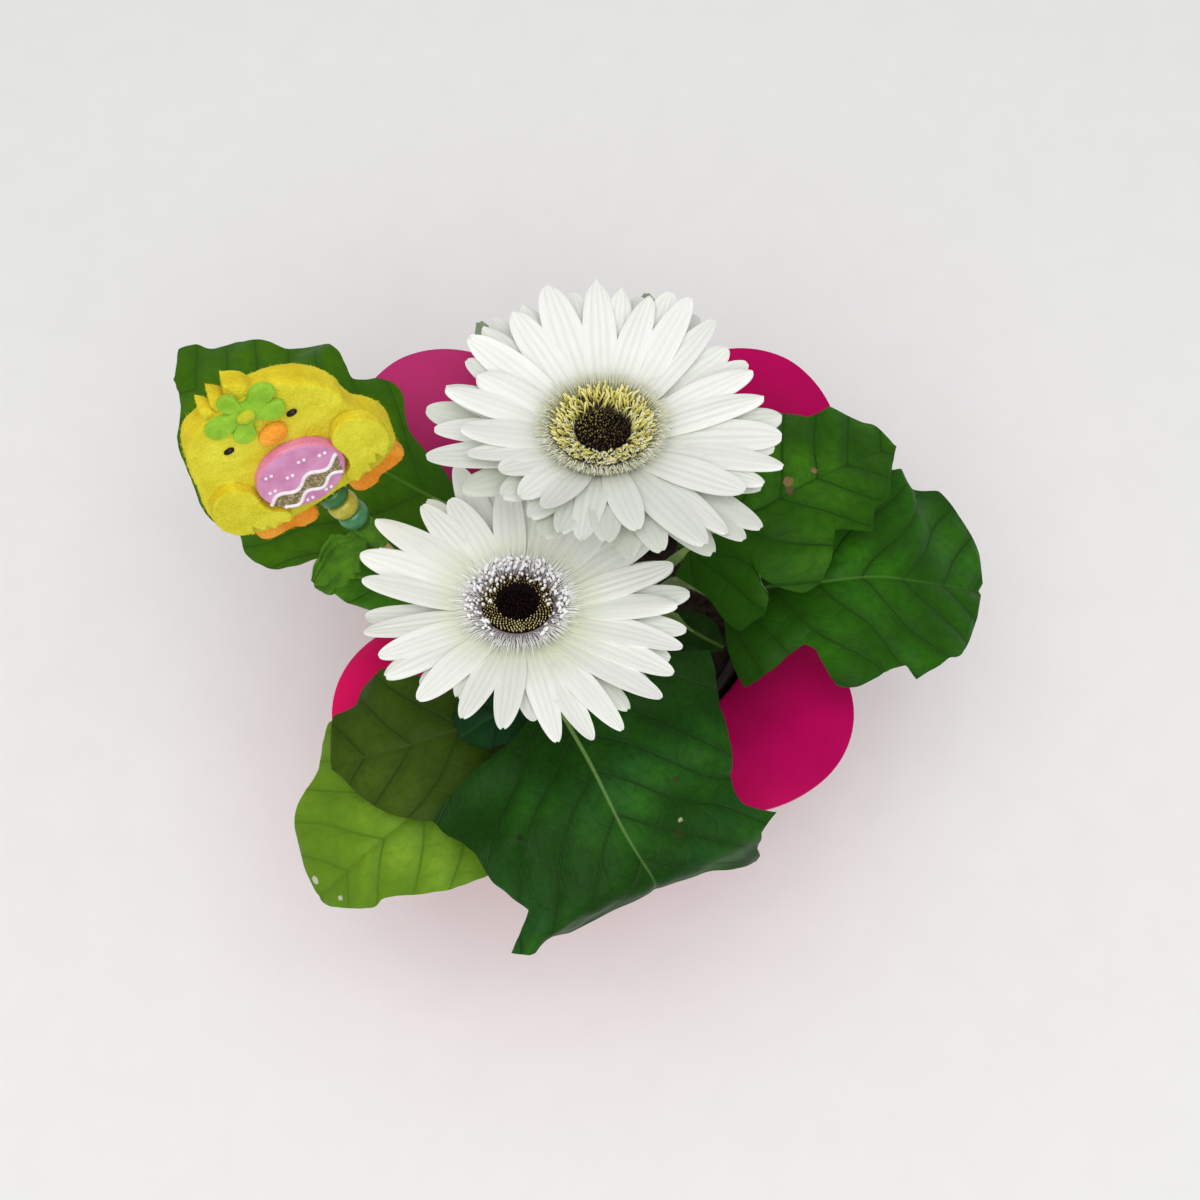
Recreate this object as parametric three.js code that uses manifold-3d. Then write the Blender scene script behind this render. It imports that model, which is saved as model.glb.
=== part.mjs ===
// Potted gerbera: two white blooms and a rosette of lobed leaves in a black growing pot, which
// stands in a magenta cover with four flared lobes. A foam chick on a stick is stuck in the soil.
// Millimetres, +Z up, origin at the centre of the pot cover's flat base, -Y towards the viewer.
import * as THREE from 'three';
import { mergeVertices } from 'three/addons/utils/BufferGeometryUtils.js';
import Module from 'manifold-3d';

const wasm = await Module();
wasm.setup();

// ---- driving dimensions -------------------------------------------------------------------

const gap = 0.3; // clearance between two pieces that touch on the real plant

const cover = {
  base: 42, // radius of the flat base
  neck: 57, // radius where the collar starts
  neckHeight: 95,
  wall: 1.3,
  lobeCentre: 65, // distance of each lobe's centre from the axis
  lobeRadius: 36,
  rise: 0.44, // how much the collar climbs for each millimetre outwards
};

const innerPot = { foot: 37, top: 51, wall: 1.1, lip: 2.4, lipDepth: 6, floor: 2, height: 92 };

const soilTop = 84;
const stemDepth = 9; // how deep each stem stands in the soil

const petioleRadius = 1.6;
const bladeEdge = 0.8; // thickness of a leaf at its edge
const bladeRib = 1.7; // and at its midrib
const leafSag = 0.003; // sideways droop of a blade, per millimetre squared
const leafWave = { height: 1.5, pitch: 30, reach: 25 };

// Every leaf is drawn flat and then bent: x runs along the midrib, y to its right. Each row pairs
// a point of the right edge with one of the left edge, from the blade's base to its tip.
const leaves = {
  leaf_front: {
    colour: 0x24601f,
    petiole: [[-9, -10, 82], [-15, -24, 112], [-17, -40, 137]],
    rib: [[-13, -57, 150], [-1, -80, 153], [9, -100, 150], [18, -113, 143]],
    fold: { at: 63, lean: 0.2, corner: 30, radius: 6, turn: 70 },
    rows: [
      [0, 3, 0, -3], [1, 14, -3, -14], [6, 22, 0, -26], [11, 30, 5, -38], [15, 40, 9, -49],
      [18, 48, 14, -48], [28, 44, 22, -45], [37, 41, 31, -42], [45, 39.5, 43, -39],
      [49, 37, 57, -36], [54, 34.5, 63, -35], [57, 39.5, 70, -42], [60, 45, 73, -35],
      [65, 40, 104, -36], [82, 25.5, 88, -26], [76, 13, 78.5, -13.5], [75, 2.5, 73.5, -2.5],
    ],
  },
  leaf_left: {
    colour: 0x3c6e18,
    petiole: [[-14, 4, 82], [-24, 8, 108]],
    rib: [[-41, 12, 128], [-54, 15, 138], [-75, 23, 147], [-101, 36, 146], [-128, 54, 134]],
    rows: [
      [0, 3, 0, -3], [10, 10, 8, -14], [20, 13.5, 16, -24], [29, 18, 25, -27], [36, 27, 34, -34],
      [46, 29, 41, -40.5], [55, 25.5, 47.5, -43], [65, 31.5, 56, -41.5], [80, 33, 60, -37.5],
      [88, 26.5, 68, -38], [96, 25.5, 78, -32], [106, 21.5, 88, -25], [112.5, 16, 96, -19],
      [119, 15, 100.5, -13], [123, 10.5, 107, -6], [116, 1.5, 113, -1.5],
    ],
  },
  leaf_right_upper: {
    colour: 0x3a7420,
    petiole: [[10, -7, 82], [13, -13, 112], [21, -12, 136]],
    rib: [[30, -8, 146], [42, -2, 152], [52, 1, 155], [70, 12, 154], [94, 29, 142]],
    rows: [
      [-9, 5, -4, -2], [-4, 16, 2, -12], [-3, 25, 8, -20], [-0.5, 30.5, 14, -26], [8, 31, 22, -28],
      [15, 26, 29, -24], [18, 18, 35, -26], [24.5, 29, 42, -31], [29.5, 28, 49, -30],
      [35, 23, 56, -25], [39.5, 17.5, 60.5, -20.5], [50.5, 22.5, 69, -21], [56, 17, 72, -17],
      [62, 16, 75.5, -12], [71, 8, 79, -8.5], [80, 1, 79.5, -1],
    ],
  },
  leaf_right_lower: {
    colour: 0x245f18,
    petiole: [[17, -3, 82], [24, -3, 106], [31, -9, 120]],
    rib: [[40, -18, 128], [55, -16, 134], [72, -16, 138], [88, -14, 137], [105, -13, 130],
      [121, -10, 118]],
    rows: [
      [0, 3, 0, -3], [-1, 17, 6, -10], [1.5, 29.5, 12, -18], [8, 28, 20, -22], [16, 25, 28, -20],
      [26, 20, 35, -20], [29.5, 22.5, 42, -26], [33.5, 34, 50, -34], [38, 35, 57, -40],
      [48, 30.5, 63, -40.5], [58, 28, 76, -41.5], [61, 32.5, 83, -39], [70.5, 25, 90, -38],
      [76, 23, 93, -27], [85, 12, 96, -15], [91, 1.5, 93.5, -3],
    ],
  },
  leaf_lower_left: {
    colour: 0x6b9a22,
    petiole: [[-4, -20, 82], [-12, -42, 106]],
    rib: [[-28, -65, 124], [-40, -75, 127], [-53, -87, 126], [-67, -97, 121], [-79, -105, 112],
      [-84, -108, 107]],
    rows: [
      [0, 3, 0, -3], [6, 12, 6, -11], [14, 22, 13, -18], [23, 32, 20, -24], [32, 39, 27, -29],
      [39, 41, 34, -27], [46.5, 38, 42, -23], [52, 33, 50, -18], [60, 29, 57, -14],
      [66.5, 25, 61, -14], [71, 19, 68, -9], [74.5, 11.5, 73.5, -4], [75, 3, 75, -1],
    ],
  },
  leaf_olive: {
    colour: 0x3f5218,
    petiole: [[-15, -9, 82], [-18, -30, 108]],
    rib: [[-26, -58, 132], [-43, -65, 137], [-59, -70, 136], [-77, -72, 128]],
    rows: [
      [0, 3, 0, -3], [5, 8, 4, -12], [13, 13, 8, -19], [20, 20, 14, -25], [32, 26, 22, -27],
      [40, 25.5, 30, -25], [47, 23, 38, -21], [49.5, 18, 45, -15], [56.5, 16, 51, -9],
      [57.5, 9.5, 55, -4], [58, 1, 58, -1],
    ],
  },
  leaf_small_front: {
    colour: 0x1f5230,
    petiole: [[3, -16, 82], [4, -38, 116], [-7, -50, 136]],
    rib: [[-16, -54, 142], [-23, -60, 145], [-31, -64, 145], [-39, -68, 141]],
    rows: [
      [0, 2, 0, -2], [4, 6, 4, -7], [8, 8, 9, -10], [13, 10, 14, -11], [19, 11, 18, -9],
      [24, 10, 23, -8], [28, 7, 27, -4], [29, 1, 29, -1],
    ],
  },
  leaf_young_left: {
    colour: 0x4a8a1c,
    petiole: [[-16, -5, 82], [-25, -3, 104]],
    rib: [[-39, -6, 120], [-51, -12, 128], [-65, -13, 131], [-82, -8, 127]],
    rows: [
      [0, 2, 0, -2], [6, 6, 6, -5], [14, 9, 14, -9], [22, 10, 22, -9], [30, 10, 30, -10],
      [38, 8, 39, -9], [45, 4, 46, -6], [50, 1, 50, -1],
    ],
  },
  leaf_small_right: {
    colour: 0x234a12,
    petiole: [[15, -14, 82], [19, -14, 96]],
    rib: [[24, -12, 104], [32, -20, 108], [43, -26, 107]],
    rows: [
      [0, 1.5, 0, -1.5], [5, 5, 5, -5], [11, 7, 11, -7], [17, 6, 17, -6], [21, 3, 21, -3],
      [23, 1, 23, -1],
    ],
  },
  leaf_back_left: {
    colour: 0x35611c,
    petiole: [[-6, 12, 82], [-10, 18, 106]],
    rib: [[-15, 25, 125], [-25, 53, 128], [-39, 90, 118]],
    rows: [
      [0, 2, 0, -2], [9, 9, 9, -9], [18, 13, 18, -13], [27, 11, 27, -11], [38, 15, 38, -15],
      [47, 12, 47, -12], [58, 6, 58, -6], [71, 1, 71, -1],
    ],
  },
  leaf_back_right: {
    colour: 0x35611c,
    petiole: [[8, 12, 82], [12, 20, 104]],
    rib: [[15, 30, 122], [18, 58, 126], [18, 101, 116]],
    rows: [
      [0, 2, 0, -2], [9, 9, 9, -9], [19, 14, 19, -14], [29, 12, 29, -12], [40, 15, 40, -15],
      [52, 11, 52, -11], [62, 6, 62, -6], [73, 1, 73, -1],
    ],
  },
};

// A bloom's own axis is +Z, with z = 0 on top of the white receptacle that carries the florets.
// Petal layers go from the front one to the back one: reach from the axis, full width, start
// height, climb and droop towards the tip.
const petalRoot = 9;
const petalThickness = 0.7;
const frontStations = [0, 0.3, 0.6, 0.87, 1]; // shares of a petal's length
const backStations = [0, 0.35, 0.78, 1]; // fewer where the front petals cover them
const blooms = {
  upper: {
    centre: [3, -16, 231],
    leanBack: 12,
    layers: [
      { count: 19, turn: 4, reach: 47, width: 10.6, start: -1, climb: 13, droop: 3.5 },
      { count: 19, turn: 13, reach: 48, width: 10.4, start: -3.1, climb: 11.5, droop: 3.5 },
      { count: 12, turn: 8, reach: 47.5, width: 10.8, start: -5.1, climb: 9.5, droop: 3.5 },
    ],
    shortened: null,
    rings: { eye: 7.2, florets: 12.8, fringe: 15.6 },
    colours: { fringe: 0x9a9a78, florets: 0xd8c860, eye: 0x2c1c0e },
    stalk: [[6, 3, 82], [6, -2, 120], [4, -12, 170]],
  },
  lower: {
    centre: [-20, -56, 208],
    leanBack: 12,
    layers: [
      { count: 22, turn: 6, reach: 44.5, width: 9.2, start: -1, climb: 9, droop: 3 },
      { count: 17, turn: 15, reach: 43, width: 9.2, start: -3.4, climb: 7, droop: 3 },
    ],
    shortened: { towards: 60, within: 26, factor: 0.78 },
    rings: { eye: 5.6, florets: 9.8, fringe: 14 },
    colours: { fringe: 0xe4e2dc, florets: 0x6a5a24, eye: 0x140a08 },
    stalk: [[-2, -4, 82], [-6, -16, 120], [-14, -38, 160]],
  },
};
const receptacle = { radius: 11.5, depth: 6 };
const calyx = { radius: 10.8, stem: 2.4, length: 15 };

// The pick's own frame: X across the chick, Y up its body, Z out of its front face.
const pick = {
  foot: [-74, -18, 198], // bottom of the chick's front face
  across: [0.853, 0.379, 0.36],
  up: [-0.435, 0.132, 0.891],
  thickness: 9,
  stake: 1.3,
  stakeLength: 140,
  stakeInBody: 12,
  bead: 4.6,
  beadHeight: 5.4,
};

// ---- small helpers ------------------------------------------------------------------------

const vec = ([x, y, z]) => new THREE.Vector3(x, y, z);
const radians = THREE.MathUtils.degToRad;
const lerp = THREE.MathUtils.lerp;

// A seeded draw between 0 and 1, the same for the same number.
function draw(seed) {
  const value = Math.sin(seed * 12.9898) * 43758.5453;
  return value - Math.floor(value);
}

function material(colour, roughness = 0.75) {
  return new THREE.MeshStandardMaterial({ color: colour, roughness, metalness: 0 });
}

// Welds the corners, drops triangles that have collapsed and turns the faces outwards.
function closedBody(positions, corners) {
  const loose = new THREE.BufferGeometry();
  loose.setAttribute('position', new THREE.Float32BufferAttribute(positions, 3));
  loose.setIndex(corners);
  const welded = mergeVertices(loose, 1e-4);
  const index = Array.from(welded.index.array);
  const kept = [];
  const [a, b, c] = [new THREE.Vector3(), new THREE.Vector3(), new THREE.Vector3()];
  let volume = 0;
  for (let i = 0; i < index.length; i += 3) {
    const [p, q, r] = index.slice(i, i + 3);
    if (p === q || q === r || r === p) continue;
    kept.push(p, q, r);
    a.fromBufferAttribute(welded.attributes.position, p);
    b.fromBufferAttribute(welded.attributes.position, q);
    c.fromBufferAttribute(welded.attributes.position, r);
    volume += a.dot(b.cross(c));
  }
  welded.setIndex(volume < 0 ? kept.reverse() : kept);
  return welded;
}

// A body made of rows of points, each row running once round. The first and last rows have
// collapsed to a point, or the last row joins the first when the body is a ring.
function roundBody(rows, isRing = false) {
  const around = rows[0].length;
  const positions = rows.flat().flatMap((p) => [p.x, p.y, p.z]);
  const corners = [];
  const bands = isRing ? rows.length : rows.length - 1;
  for (let i = 0; i < bands; i += 1) {
    for (let j = 0; j < around; j += 1) {
      const here = i * around;
      const next = ((i + 1) % rows.length) * around;
      const k = (j + 1) % around;
      corners.push(here + j, next + j, next + k, here + j, next + k, here + k);
    }
  }
  return closedBody(positions, corners);
}

// A thin sheet with a front and a back grid of points, split into triangles alike.
function sheetBody(front, back) {
  const rows = front.length;
  const columns = front[0].length;
  const positions = [...front, ...back].flat().flatMap((p) => [p.x, p.y, p.z]);
  const at = (side, i, j) => (side * rows + i) * columns + j;
  const corners = [];
  const quad = (a, b, c, d) => corners.push(a, b, c, a, c, d);
  for (let i = 0; i < rows - 1; i += 1) {
    for (let j = 0; j < columns - 1; j += 1) {
      quad(at(0, i, j), at(0, i + 1, j), at(0, i + 1, j + 1), at(0, i, j + 1));
      corners.push(at(1, i, j), at(1, i + 1, j + 1), at(1, i + 1, j));
      corners.push(at(1, i, j), at(1, i, j + 1), at(1, i + 1, j + 1));
    }
    quad(at(0, i, 0), at(1, i, 0), at(1, i + 1, 0), at(0, i + 1, 0));
    const last = columns - 1;
    quad(at(0, i, last), at(0, i + 1, last), at(1, i + 1, last), at(1, i, last));
  }
  for (let j = 0; j < columns - 1; j += 1) {
    quad(at(0, 0, j), at(0, 0, j + 1), at(1, 0, j + 1), at(1, 0, j));
    const last = rows - 1;
    quad(at(0, last, j), at(1, last, j), at(1, last, j + 1), at(0, last, j + 1));
  }
  return closedBody(positions, corners);
}

// A stalk along a curve, with a radius at each of its stations (0 at the start, 1 at the end).
function stalkBody(points, stations, sides, ripple = 0) {
  const curve = new THREE.CatmullRomCurve3(points, false, 'catmullrom', 0.5);
  const steps = 60;
  const frames = curve.computeFrenetFrames(steps, false);
  const rows = stations.map(([t, radius]) => {
    const k = Math.round(t * steps);
    const centre = curve.getPointAt(k / steps);
    return Array.from({ length: sides }, (_, j) => {
      const angle = (j / sides) * 2 * Math.PI;
      const r = radius * (1 + (j % 2 ? -ripple : ripple));
      return centre.clone()
        .addScaledVector(frames.normals[k], r * Math.cos(angle))
        .addScaledVector(frames.binormals[k], r * Math.sin(angle));
    });
  });
  return roundBody(rows);
}

function toSolid(geometry) {
  const plain = geometry.clone();
  plain.deleteAttribute('normal');
  plain.deleteAttribute('uv');
  const welded = mergeVertices(plain, 1e-4);
  const vertProperties = new Float32Array(welded.attributes.position.array);
  const triVerts = new Uint32Array(welded.index.array);
  return new wasm.Manifold(new wasm.Mesh({ numProp: 3, vertProperties, triVerts }));
}

function toGeometry(solid) {
  const mesh = solid.getMesh();
  const geometry = new THREE.BufferGeometry();
  geometry.setAttribute('position', new THREE.BufferAttribute(mesh.vertProperties, 3));
  geometry.setIndex(new THREE.BufferAttribute(mesh.triVerts, 1));
  return geometry;
}

const join = (pieces) => toGeometry(pieces.map(toSolid).reduce((sum, next) => sum.add(next)));

function named(name, geometry, colour, roughness) {
  const mesh = new THREE.Mesh(geometry, material(colour, roughness));
  mesh.name = name;
  return mesh;
}

function circleRow(radius, z, sides) {
  return Array.from({ length: sides }, (_, j) => {
    const angle = (j / sides) * 2 * Math.PI;
    return new THREE.Vector3(radius * Math.cos(angle), radius * Math.sin(angle), z);
  });
}

// ---- pot cover ----------------------------------------------------------------------------

const pointsPerLobe = 9;
const pointsPerNotch = 3;

// The collar's rim seen from above, with the neck angle that each of its points grows from.
function cloverRim() {
  const rim = [];
  const lobeTurn = radians(105);
  const endX = cover.lobeCentre + cover.lobeRadius * Math.cos(lobeTurn);
  const endY = cover.lobeRadius * Math.sin(lobeTurn);
  const halfAngle = Math.atan2(endY, endX);
  const endRadius = Math.hypot(endX, endY);
  for (let lobe = 0; lobe < 4; lobe += 1) {
    const middle = radians(45 + 90 * lobe);
    for (let i = 0; i <= pointsPerLobe; i += 1) {
      const turn = lerp(-lobeTurn, lobeTurn, i / pointsPerLobe);
      const angle = middle + (turn / lobeTurn) * halfAngle;
      const x = cover.lobeCentre * Math.cos(middle) + cover.lobeRadius * Math.cos(middle + turn);
      const y = cover.lobeCentre * Math.sin(middle) + cover.lobeRadius * Math.sin(middle + turn);
      rim.push({ x, y, angle });
    }
    const nextStart = middle + Math.PI / 2 - halfAngle;
    for (let i = 1; i < pointsPerNotch; i += 1) {
      const step = i / pointsPerNotch;
      const angle = lerp(middle + halfAngle, nextStart, step);
      const radius = endRadius - 3 * Math.sin(Math.PI * step);
      rim.push({ x: radius * Math.cos(angle), y: radius * Math.sin(angle), angle });
    }
  }
  return rim;
}

// One row of the collar: share is 0 at the neck and 1 at the rim.
function collarRow(rim, share, neckRadius, lift) {
  return rim.map(({ x, y, angle }) => {
    const start = [neckRadius * Math.cos(angle), neckRadius * Math.sin(angle)];
    const outwards = Math.hypot(x, y) - cover.neck;
    const climb = cover.rise * outwards * (1 - (1 - share) ** 2);
    const z = cover.neckHeight + climb + lift;
    return new THREE.Vector3(lerp(start[0], x, share), lerp(start[1], y, share), z);
  });
}

function buildCover() {
  const rim = cloverRim();
  const ring = (radius, z) => rim.map(({ angle }) => new THREE.Vector3(
    radius * Math.cos(angle), radius * Math.sin(angle), z,
  ));
  const innerNeck = cover.neck - cover.wall;
  const floor = cover.wall + gap;
  const shares = [0.35, 0.7, 1];
  const outside = shares.map((share) => collarRow(rim, share, cover.neck, -cover.wall * share));
  const inside = shares.map((share) => collarRow(rim, share, innerNeck, 0)).reverse();
  const rows = [
    ring(0, 0), ring(cover.base, 0), ring(cover.neck, cover.neckHeight),
    ...outside, ...inside,
    ring(innerNeck, cover.neckHeight), ring(cover.base - cover.wall, floor), ring(0, floor),
  ];
  return named('pot_cover', roundBody(rows), 0xb0125c, 0.7);
}

// ---- growing pot and soil -----------------------------------------------------------------

const potSides = 30;

function innerRadius(z) {
  return lerp(innerPot.foot, innerPot.top, z / innerPot.height) - innerPot.wall;
}

function buildInnerPot() {
  const foot = cover.wall + 2 * gap;
  const top = innerPot.height;
  const { wall, lip, lipDepth, floor } = innerPot;
  const profile = [
    [0, foot], [innerPot.foot, foot], [innerPot.top, top - lipDepth],
    [innerPot.top + lip, top - lipDepth], [innerPot.top + lip, top], [innerPot.top - wall, top],
    [innerRadius(foot + floor), foot + floor], [0, foot + floor],
  ].map(([r, z]) => circleRow(r, z, potSides));
  return named('nursery_pot', roundBody(profile), 0x161616, 0.6);
}

// The stems that stand in the soil, each with its own plain hole.
const holes = [];

// Every stem has stations at these shares of its length, so that its hole bends as it does.
const inSoil = [0, 0.15, 0.3];

function drillFor(points, radius) {
  const stations = [[0, 0], ...inSoil.map((t) => [t, radius]), [inSoil.at(-1), 0]];
  holes.push(stalkBody(points, stations, 8).translate(0, 0, -gap));
}

function buildSoil() {
  const bottom = cover.wall + 3 * gap + innerPot.floor;
  const side = (z) => innerRadius(z) - gap;
  const lumpy = (radius) => circleRow(radius, soilTop, potSides).map((p, j) => {
    p.z += 1.6 * (draw(j + 7 * radius) - 0.5);
    return p;
  });
  const rows = [
    circleRow(0, bottom, potSides), circleRow(side(bottom), bottom, potSides),
    circleRow(side(soilTop), soilTop - 1, potSides), lumpy(side(soilTop) - 3), lumpy(36),
    circleRow(24, soilTop + 1, potSides), circleRow(0, soilTop + 1.5, potSides),
  ];
  const drilled = holes.reduce((soil, hole) => soil.subtract(toSolid(hole)), toSolid(roundBody(rows)));
  return named('soil', toGeometry(drilled), 0x1c140e, 1);
}

// A stem starts straight down in the soil: its lowest point, below its first point above.
function rooted(points) {
  const top = vec(points[0]);
  const deep = top.clone();
  deep.z = soilTop - stemDepth;
  return [deep, ...points.map(vec)];
}

// ---- leaves -------------------------------------------------------------------------------

// Where the blade starts to roll down beyond its fold line, measured along the midrib.
function rollBeyond(fold, x, y) {
  const line = fold.at - fold.lean * y + 0.05 * Math.max(0, y - fold.corner) ** 2;
  const beyond = Math.max(0, x - line);
  const turned = Math.min(beyond / fold.radius, radians(fold.turn));
  const rest = beyond - fold.radius * turned;
  return {
    x: x - beyond + fold.radius * Math.sin(turned) + rest * Math.cos(turned),
    drop: fold.radius * (1 - Math.cos(turned)) + rest * Math.sin(turned),
  };
}

// Gives the function that takes a flat point (x, y) of the leaf to its place on the plant.
function leafBend(leaf) {
  const curve = new THREE.CatmullRomCurve3(leaf.rib.map(vec), false, 'catmullrom', 0.5);
  const length = curve.getLength();
  return (x, y) => {
    const along = leaf.fold ? rollBeyond(leaf.fold, x, y) : { x, drop: 0 };
    const onRib = THREE.MathUtils.clamp(along.x, 0, length);
    const tangent = curve.getTangentAt(onRib / length);
    const side = new THREE.Vector3(0, 0, 1).cross(tangent).negate().normalize();
    const normal = side.clone().cross(tangent);
    const reach = Math.min(Math.abs(y) / leafWave.reach, 1.3) ** 2;
    const wave = leafWave.height * reach * Math.sin((2 * Math.PI * x) / leafWave.pitch);
    return curve.getPointAt(onRib / length)
      .addScaledVector(tangent, along.x - onRib)
      .addScaledVector(side, y)
      .addScaledVector(normal, wave - leafSag * y * y - along.drop);
  };
}

function surfaceNormal(place, x, y) {
  const step = 0.5;
  const alongX = place(x + step, y).sub(place(x - step, y));
  const alongY = place(x, y + step).sub(place(x, y - step));
  return alongY.cross(alongX).normalize();
}

function buildLeaf(name, leaf) {
  const place = leafBend(leaf);
  const tip = leaf.rows.at(-1)[0];
  const front = [];
  const back = [];
  leaf.rows.forEach(([rightX, rightY, leftX, leftY], i) => {
    const rootX = Math.max(0, (tip * i) / (leaf.rows.length - 1));
    const across = [
      [leftX, leftY], [lerp(rootX, leftX, 0.5), leftY / 2], [rootX, 0],
      [lerp(rootX, rightX, 0.5), rightY / 2], [rightX, rightY],
    ];
    front.push(across.map(([x, y]) => place(x, y)));
    back.push(across.map(([x, y]) => {
      const thickness = y === 0 ? bladeRib : bladeEdge;
      return place(x, y).addScaledVector(surfaceNormal(place, x, y), -thickness);
    }));
  });
  const under = (x) => place(x, 0).addScaledVector(surfaceNormal(place, x, 0), -1);
  const points = [...rooted(leaf.petiole), under(1), under(7), under(12)];
  const r = petioleRadius;
  const stations = [
    [0, 0], ...inSoil.map((t) => [t, r * (1.2 - t / 2)]), [0.5, r], [0.65, r], [0.77, r],
    [0.88, r * 0.85], [1, r * 0.4], [1, 0],
  ];
  drillFor(points, r * 1.2 + 2 * gap);
  const petiole = stalkBody(points, stations, 6);
  return named(name, join([sheetBody(front, back), petiole]), leaf.colour);
}

// ---- blooms -------------------------------------------------------------------------------

// Half the width of a petal at t, from its root (0) to its blunt tip (1).
function petalHalfWidth(layer, radius, t) {
  const belly = Math.sin(Math.PI * Math.min(1, 0.22 + 0.6 * t));
  const tipRound = t > 0.8 ? Math.sqrt(1 - 0.85 * ((t - 0.8) / 0.2) ** 2) : 1;
  const room = (Math.PI * radius) / layer.count - 0.25;
  return Math.min((layer.width / 2) * belly * tipRound, room);
}

function buildPetal(bloom, layer, stations, index, seed) {
  const azimuth = 360 * (index / layer.count) + layer.turn + 3 * (draw(seed) - 0.5);
  let reach = layer.reach * (1 + 0.07 * (draw(seed + 0.3) - 0.5));
  const short = bloom.shortened;
  if (short && Math.abs(((azimuth - short.towards + 540) % 360) - 180) < short.within) {
    reach *= short.factor;
  }
  const lift = 0.9 * (draw(seed + 0.6) - 0.5);
  const twist = 0.24 * (draw(seed + 0.8) - 0.5);
  const rows = stations.map((t) => {
    const radius = lerp(petalRoot, reach, t);
    const half = petalHalfWidth(layer, radius, t);
    const height = layer.start + layer.climb * t - layer.droop * t * t + lift;
    return [-1, 0, 1].map((v) => new THREE.Vector3(
      radius, v * half, height + v * half * twist * t + 0.5 * (1 - Math.abs(v)),
    ));
  });
  const below = rows.map((row) => row.map((p) => p.clone().setZ(p.z - petalThickness)));
  return sheetBody(rows, below).rotateZ(radians(azimuth));
}

// How high the front petals reach at a distance from the axis; the florets stay above it.
function raysTop(bloom, radius) {
  const { reach, start, climb, droop } = bloom.layers[0];
  const t = Math.max(0, (radius - petalRoot) / (reach * 0.96 - petalRoot));
  return Math.max(0, start + climb * t - droop * t * t + 0.95);
}

function buildRays(bloom) {
  const { radius, depth } = receptacle;
  const sides = 16;
  const pieces = [roundBody([
    circleRow(0, -depth, sides), circleRow(radius - 2.5, -depth, sides),
    circleRow(radius, -depth / 2, sides), circleRow(radius, -0.5, sides),
    circleRow(radius - 1, 0, sides), circleRow(0, 0, sides),
  ])];
  bloom.layers.forEach((layer, k) => {
    const stations = k === 0 ? frontStations : backStations;
    for (let i = 0; i < layer.count; i += 1) {
      pieces.push(buildPetal(bloom, layer, stations, i, 100 * k + i));
    }
  });
  return join(pieces);
}

// A ring of florets: the grid's corners are raised in turn, so every other one is a floret tip.
function floretRing(bloom, inner, outer, heights, sectors, bump) {
  const steps = heights.length - 1;
  const bottom = (radius) => circleRow(radius, raysTop(bloom, radius) + gap, sectors);
  const top = heights.map((height, i) => {
    const radius = lerp(inner, outer, i / steps);
    return circleRow(radius, height, sectors).map((p, j) => {
      p.z += i < steps && (i + j) % 2 ? bump * (0.7 + 0.6 * draw(17 * i + j)) : 0;
      return p;
    });
  });
  return roundBody([...top, bottom(outer), bottom(inner)], true);
}

function floretEye(radius, bottom, height, sectors, bump) {
  const rings = [0, 0.35, 0.7, 1].map((share, i) => circleRow(radius * share, 0, sectors)
    .map((p, j) => {
      p.z = height * (1 - 0.35 * share * share) + (i && i < 3 && (i + j) % 2 ? bump : 0);
      return p;
    }));
  return roundBody([...rings, circleRow(radius, bottom, sectors), circleRow(0, bottom, sectors)]);
}

function buildBloom(name, bloom) {
  const head = new THREE.Group();
  head.position.copy(vec(bloom.centre));
  head.rotation.x = -radians(bloom.leanBack);
  const { eye, florets, fringe } = bloom.rings;
  const { colours } = bloom;
  head.add(
    named(`${name}_ray_petals`, buildRays(bloom), 0xf2f2ec, 0.55),
    named(`${name}_outer_florets`, floretRing(
      bloom, florets + gap, fringe, [5, 5.2, 4.6, 3.4], 28, 1.3,
    ), colours.fringe, 0.9),
    named(`${name}_disc_florets`, floretRing(
      bloom, eye + gap, florets, [3.2, 4, 4.6, 4.6], 24, 1.1,
    ), colours.florets, 0.85),
    named(`${name}_disc_eye`, floretEye(eye, gap, 3.4, 18, 0.7), colours.eye, 0.9),
  );
  return head;
}

function buildScape(name, bloom) {
  const normal = new THREE.Vector3(0, 0, 1).applyAxisAngle(
    new THREE.Vector3(1, 0, 0), -radians(bloom.leanBack),
  );
  const below = (depth) => vec(bloom.centre).addScaledVector(normal, -depth);
  const top = receptacle.depth + gap;
  const points = [...rooted(bloom.stalk), below(top + 28), below(top + 12), below(top)];
  const curve = new THREE.CatmullRomCurve3(points, false, 'catmullrom', 0.5);
  const fromEnd = (distance) => 1 - distance / curve.getLength();
  const { radius, stem, length } = calyx;
  const stations = [
    [0, 0], ...inSoil.map((t) => [t, stem * (1.15 - t / 2)]), [0.45, stem], [0.6, stem],
    [0.75, stem],
    [fromEnd(length), stem * 1.05], [fromEnd(length * 0.7), radius * 0.45],
    [fromEnd(length * 0.35), radius * 0.85], [1, radius], [1, 0],
  ];
  drillFor(points, stem * 1.2 + 2 * gap);
  return named(name, stalkBody(points, stations, 12, 0.04), 0x6f8a3c);
}

// ---- the chick pick -----------------------------------------------------------------------

function outline(points) {
  return new THREE.Shape(points.map(([x, y]) => new THREE.Vector2(x, y)));
}

// A flat foam or felt piece whose back lies at z = from, with softened edges.
function flatPiece(shape, from, thickness, soft) {
  return new THREE.ExtrudeGeometry(shape, {
    depth: thickness - 2 * soft,
    bevelEnabled: soft > 0,
    bevelThickness: soft,
    bevelSize: soft,
    bevelOffset: -soft,
    bevelSegments: 1,
  }).translate(0, 0, from + soft);
}

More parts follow.
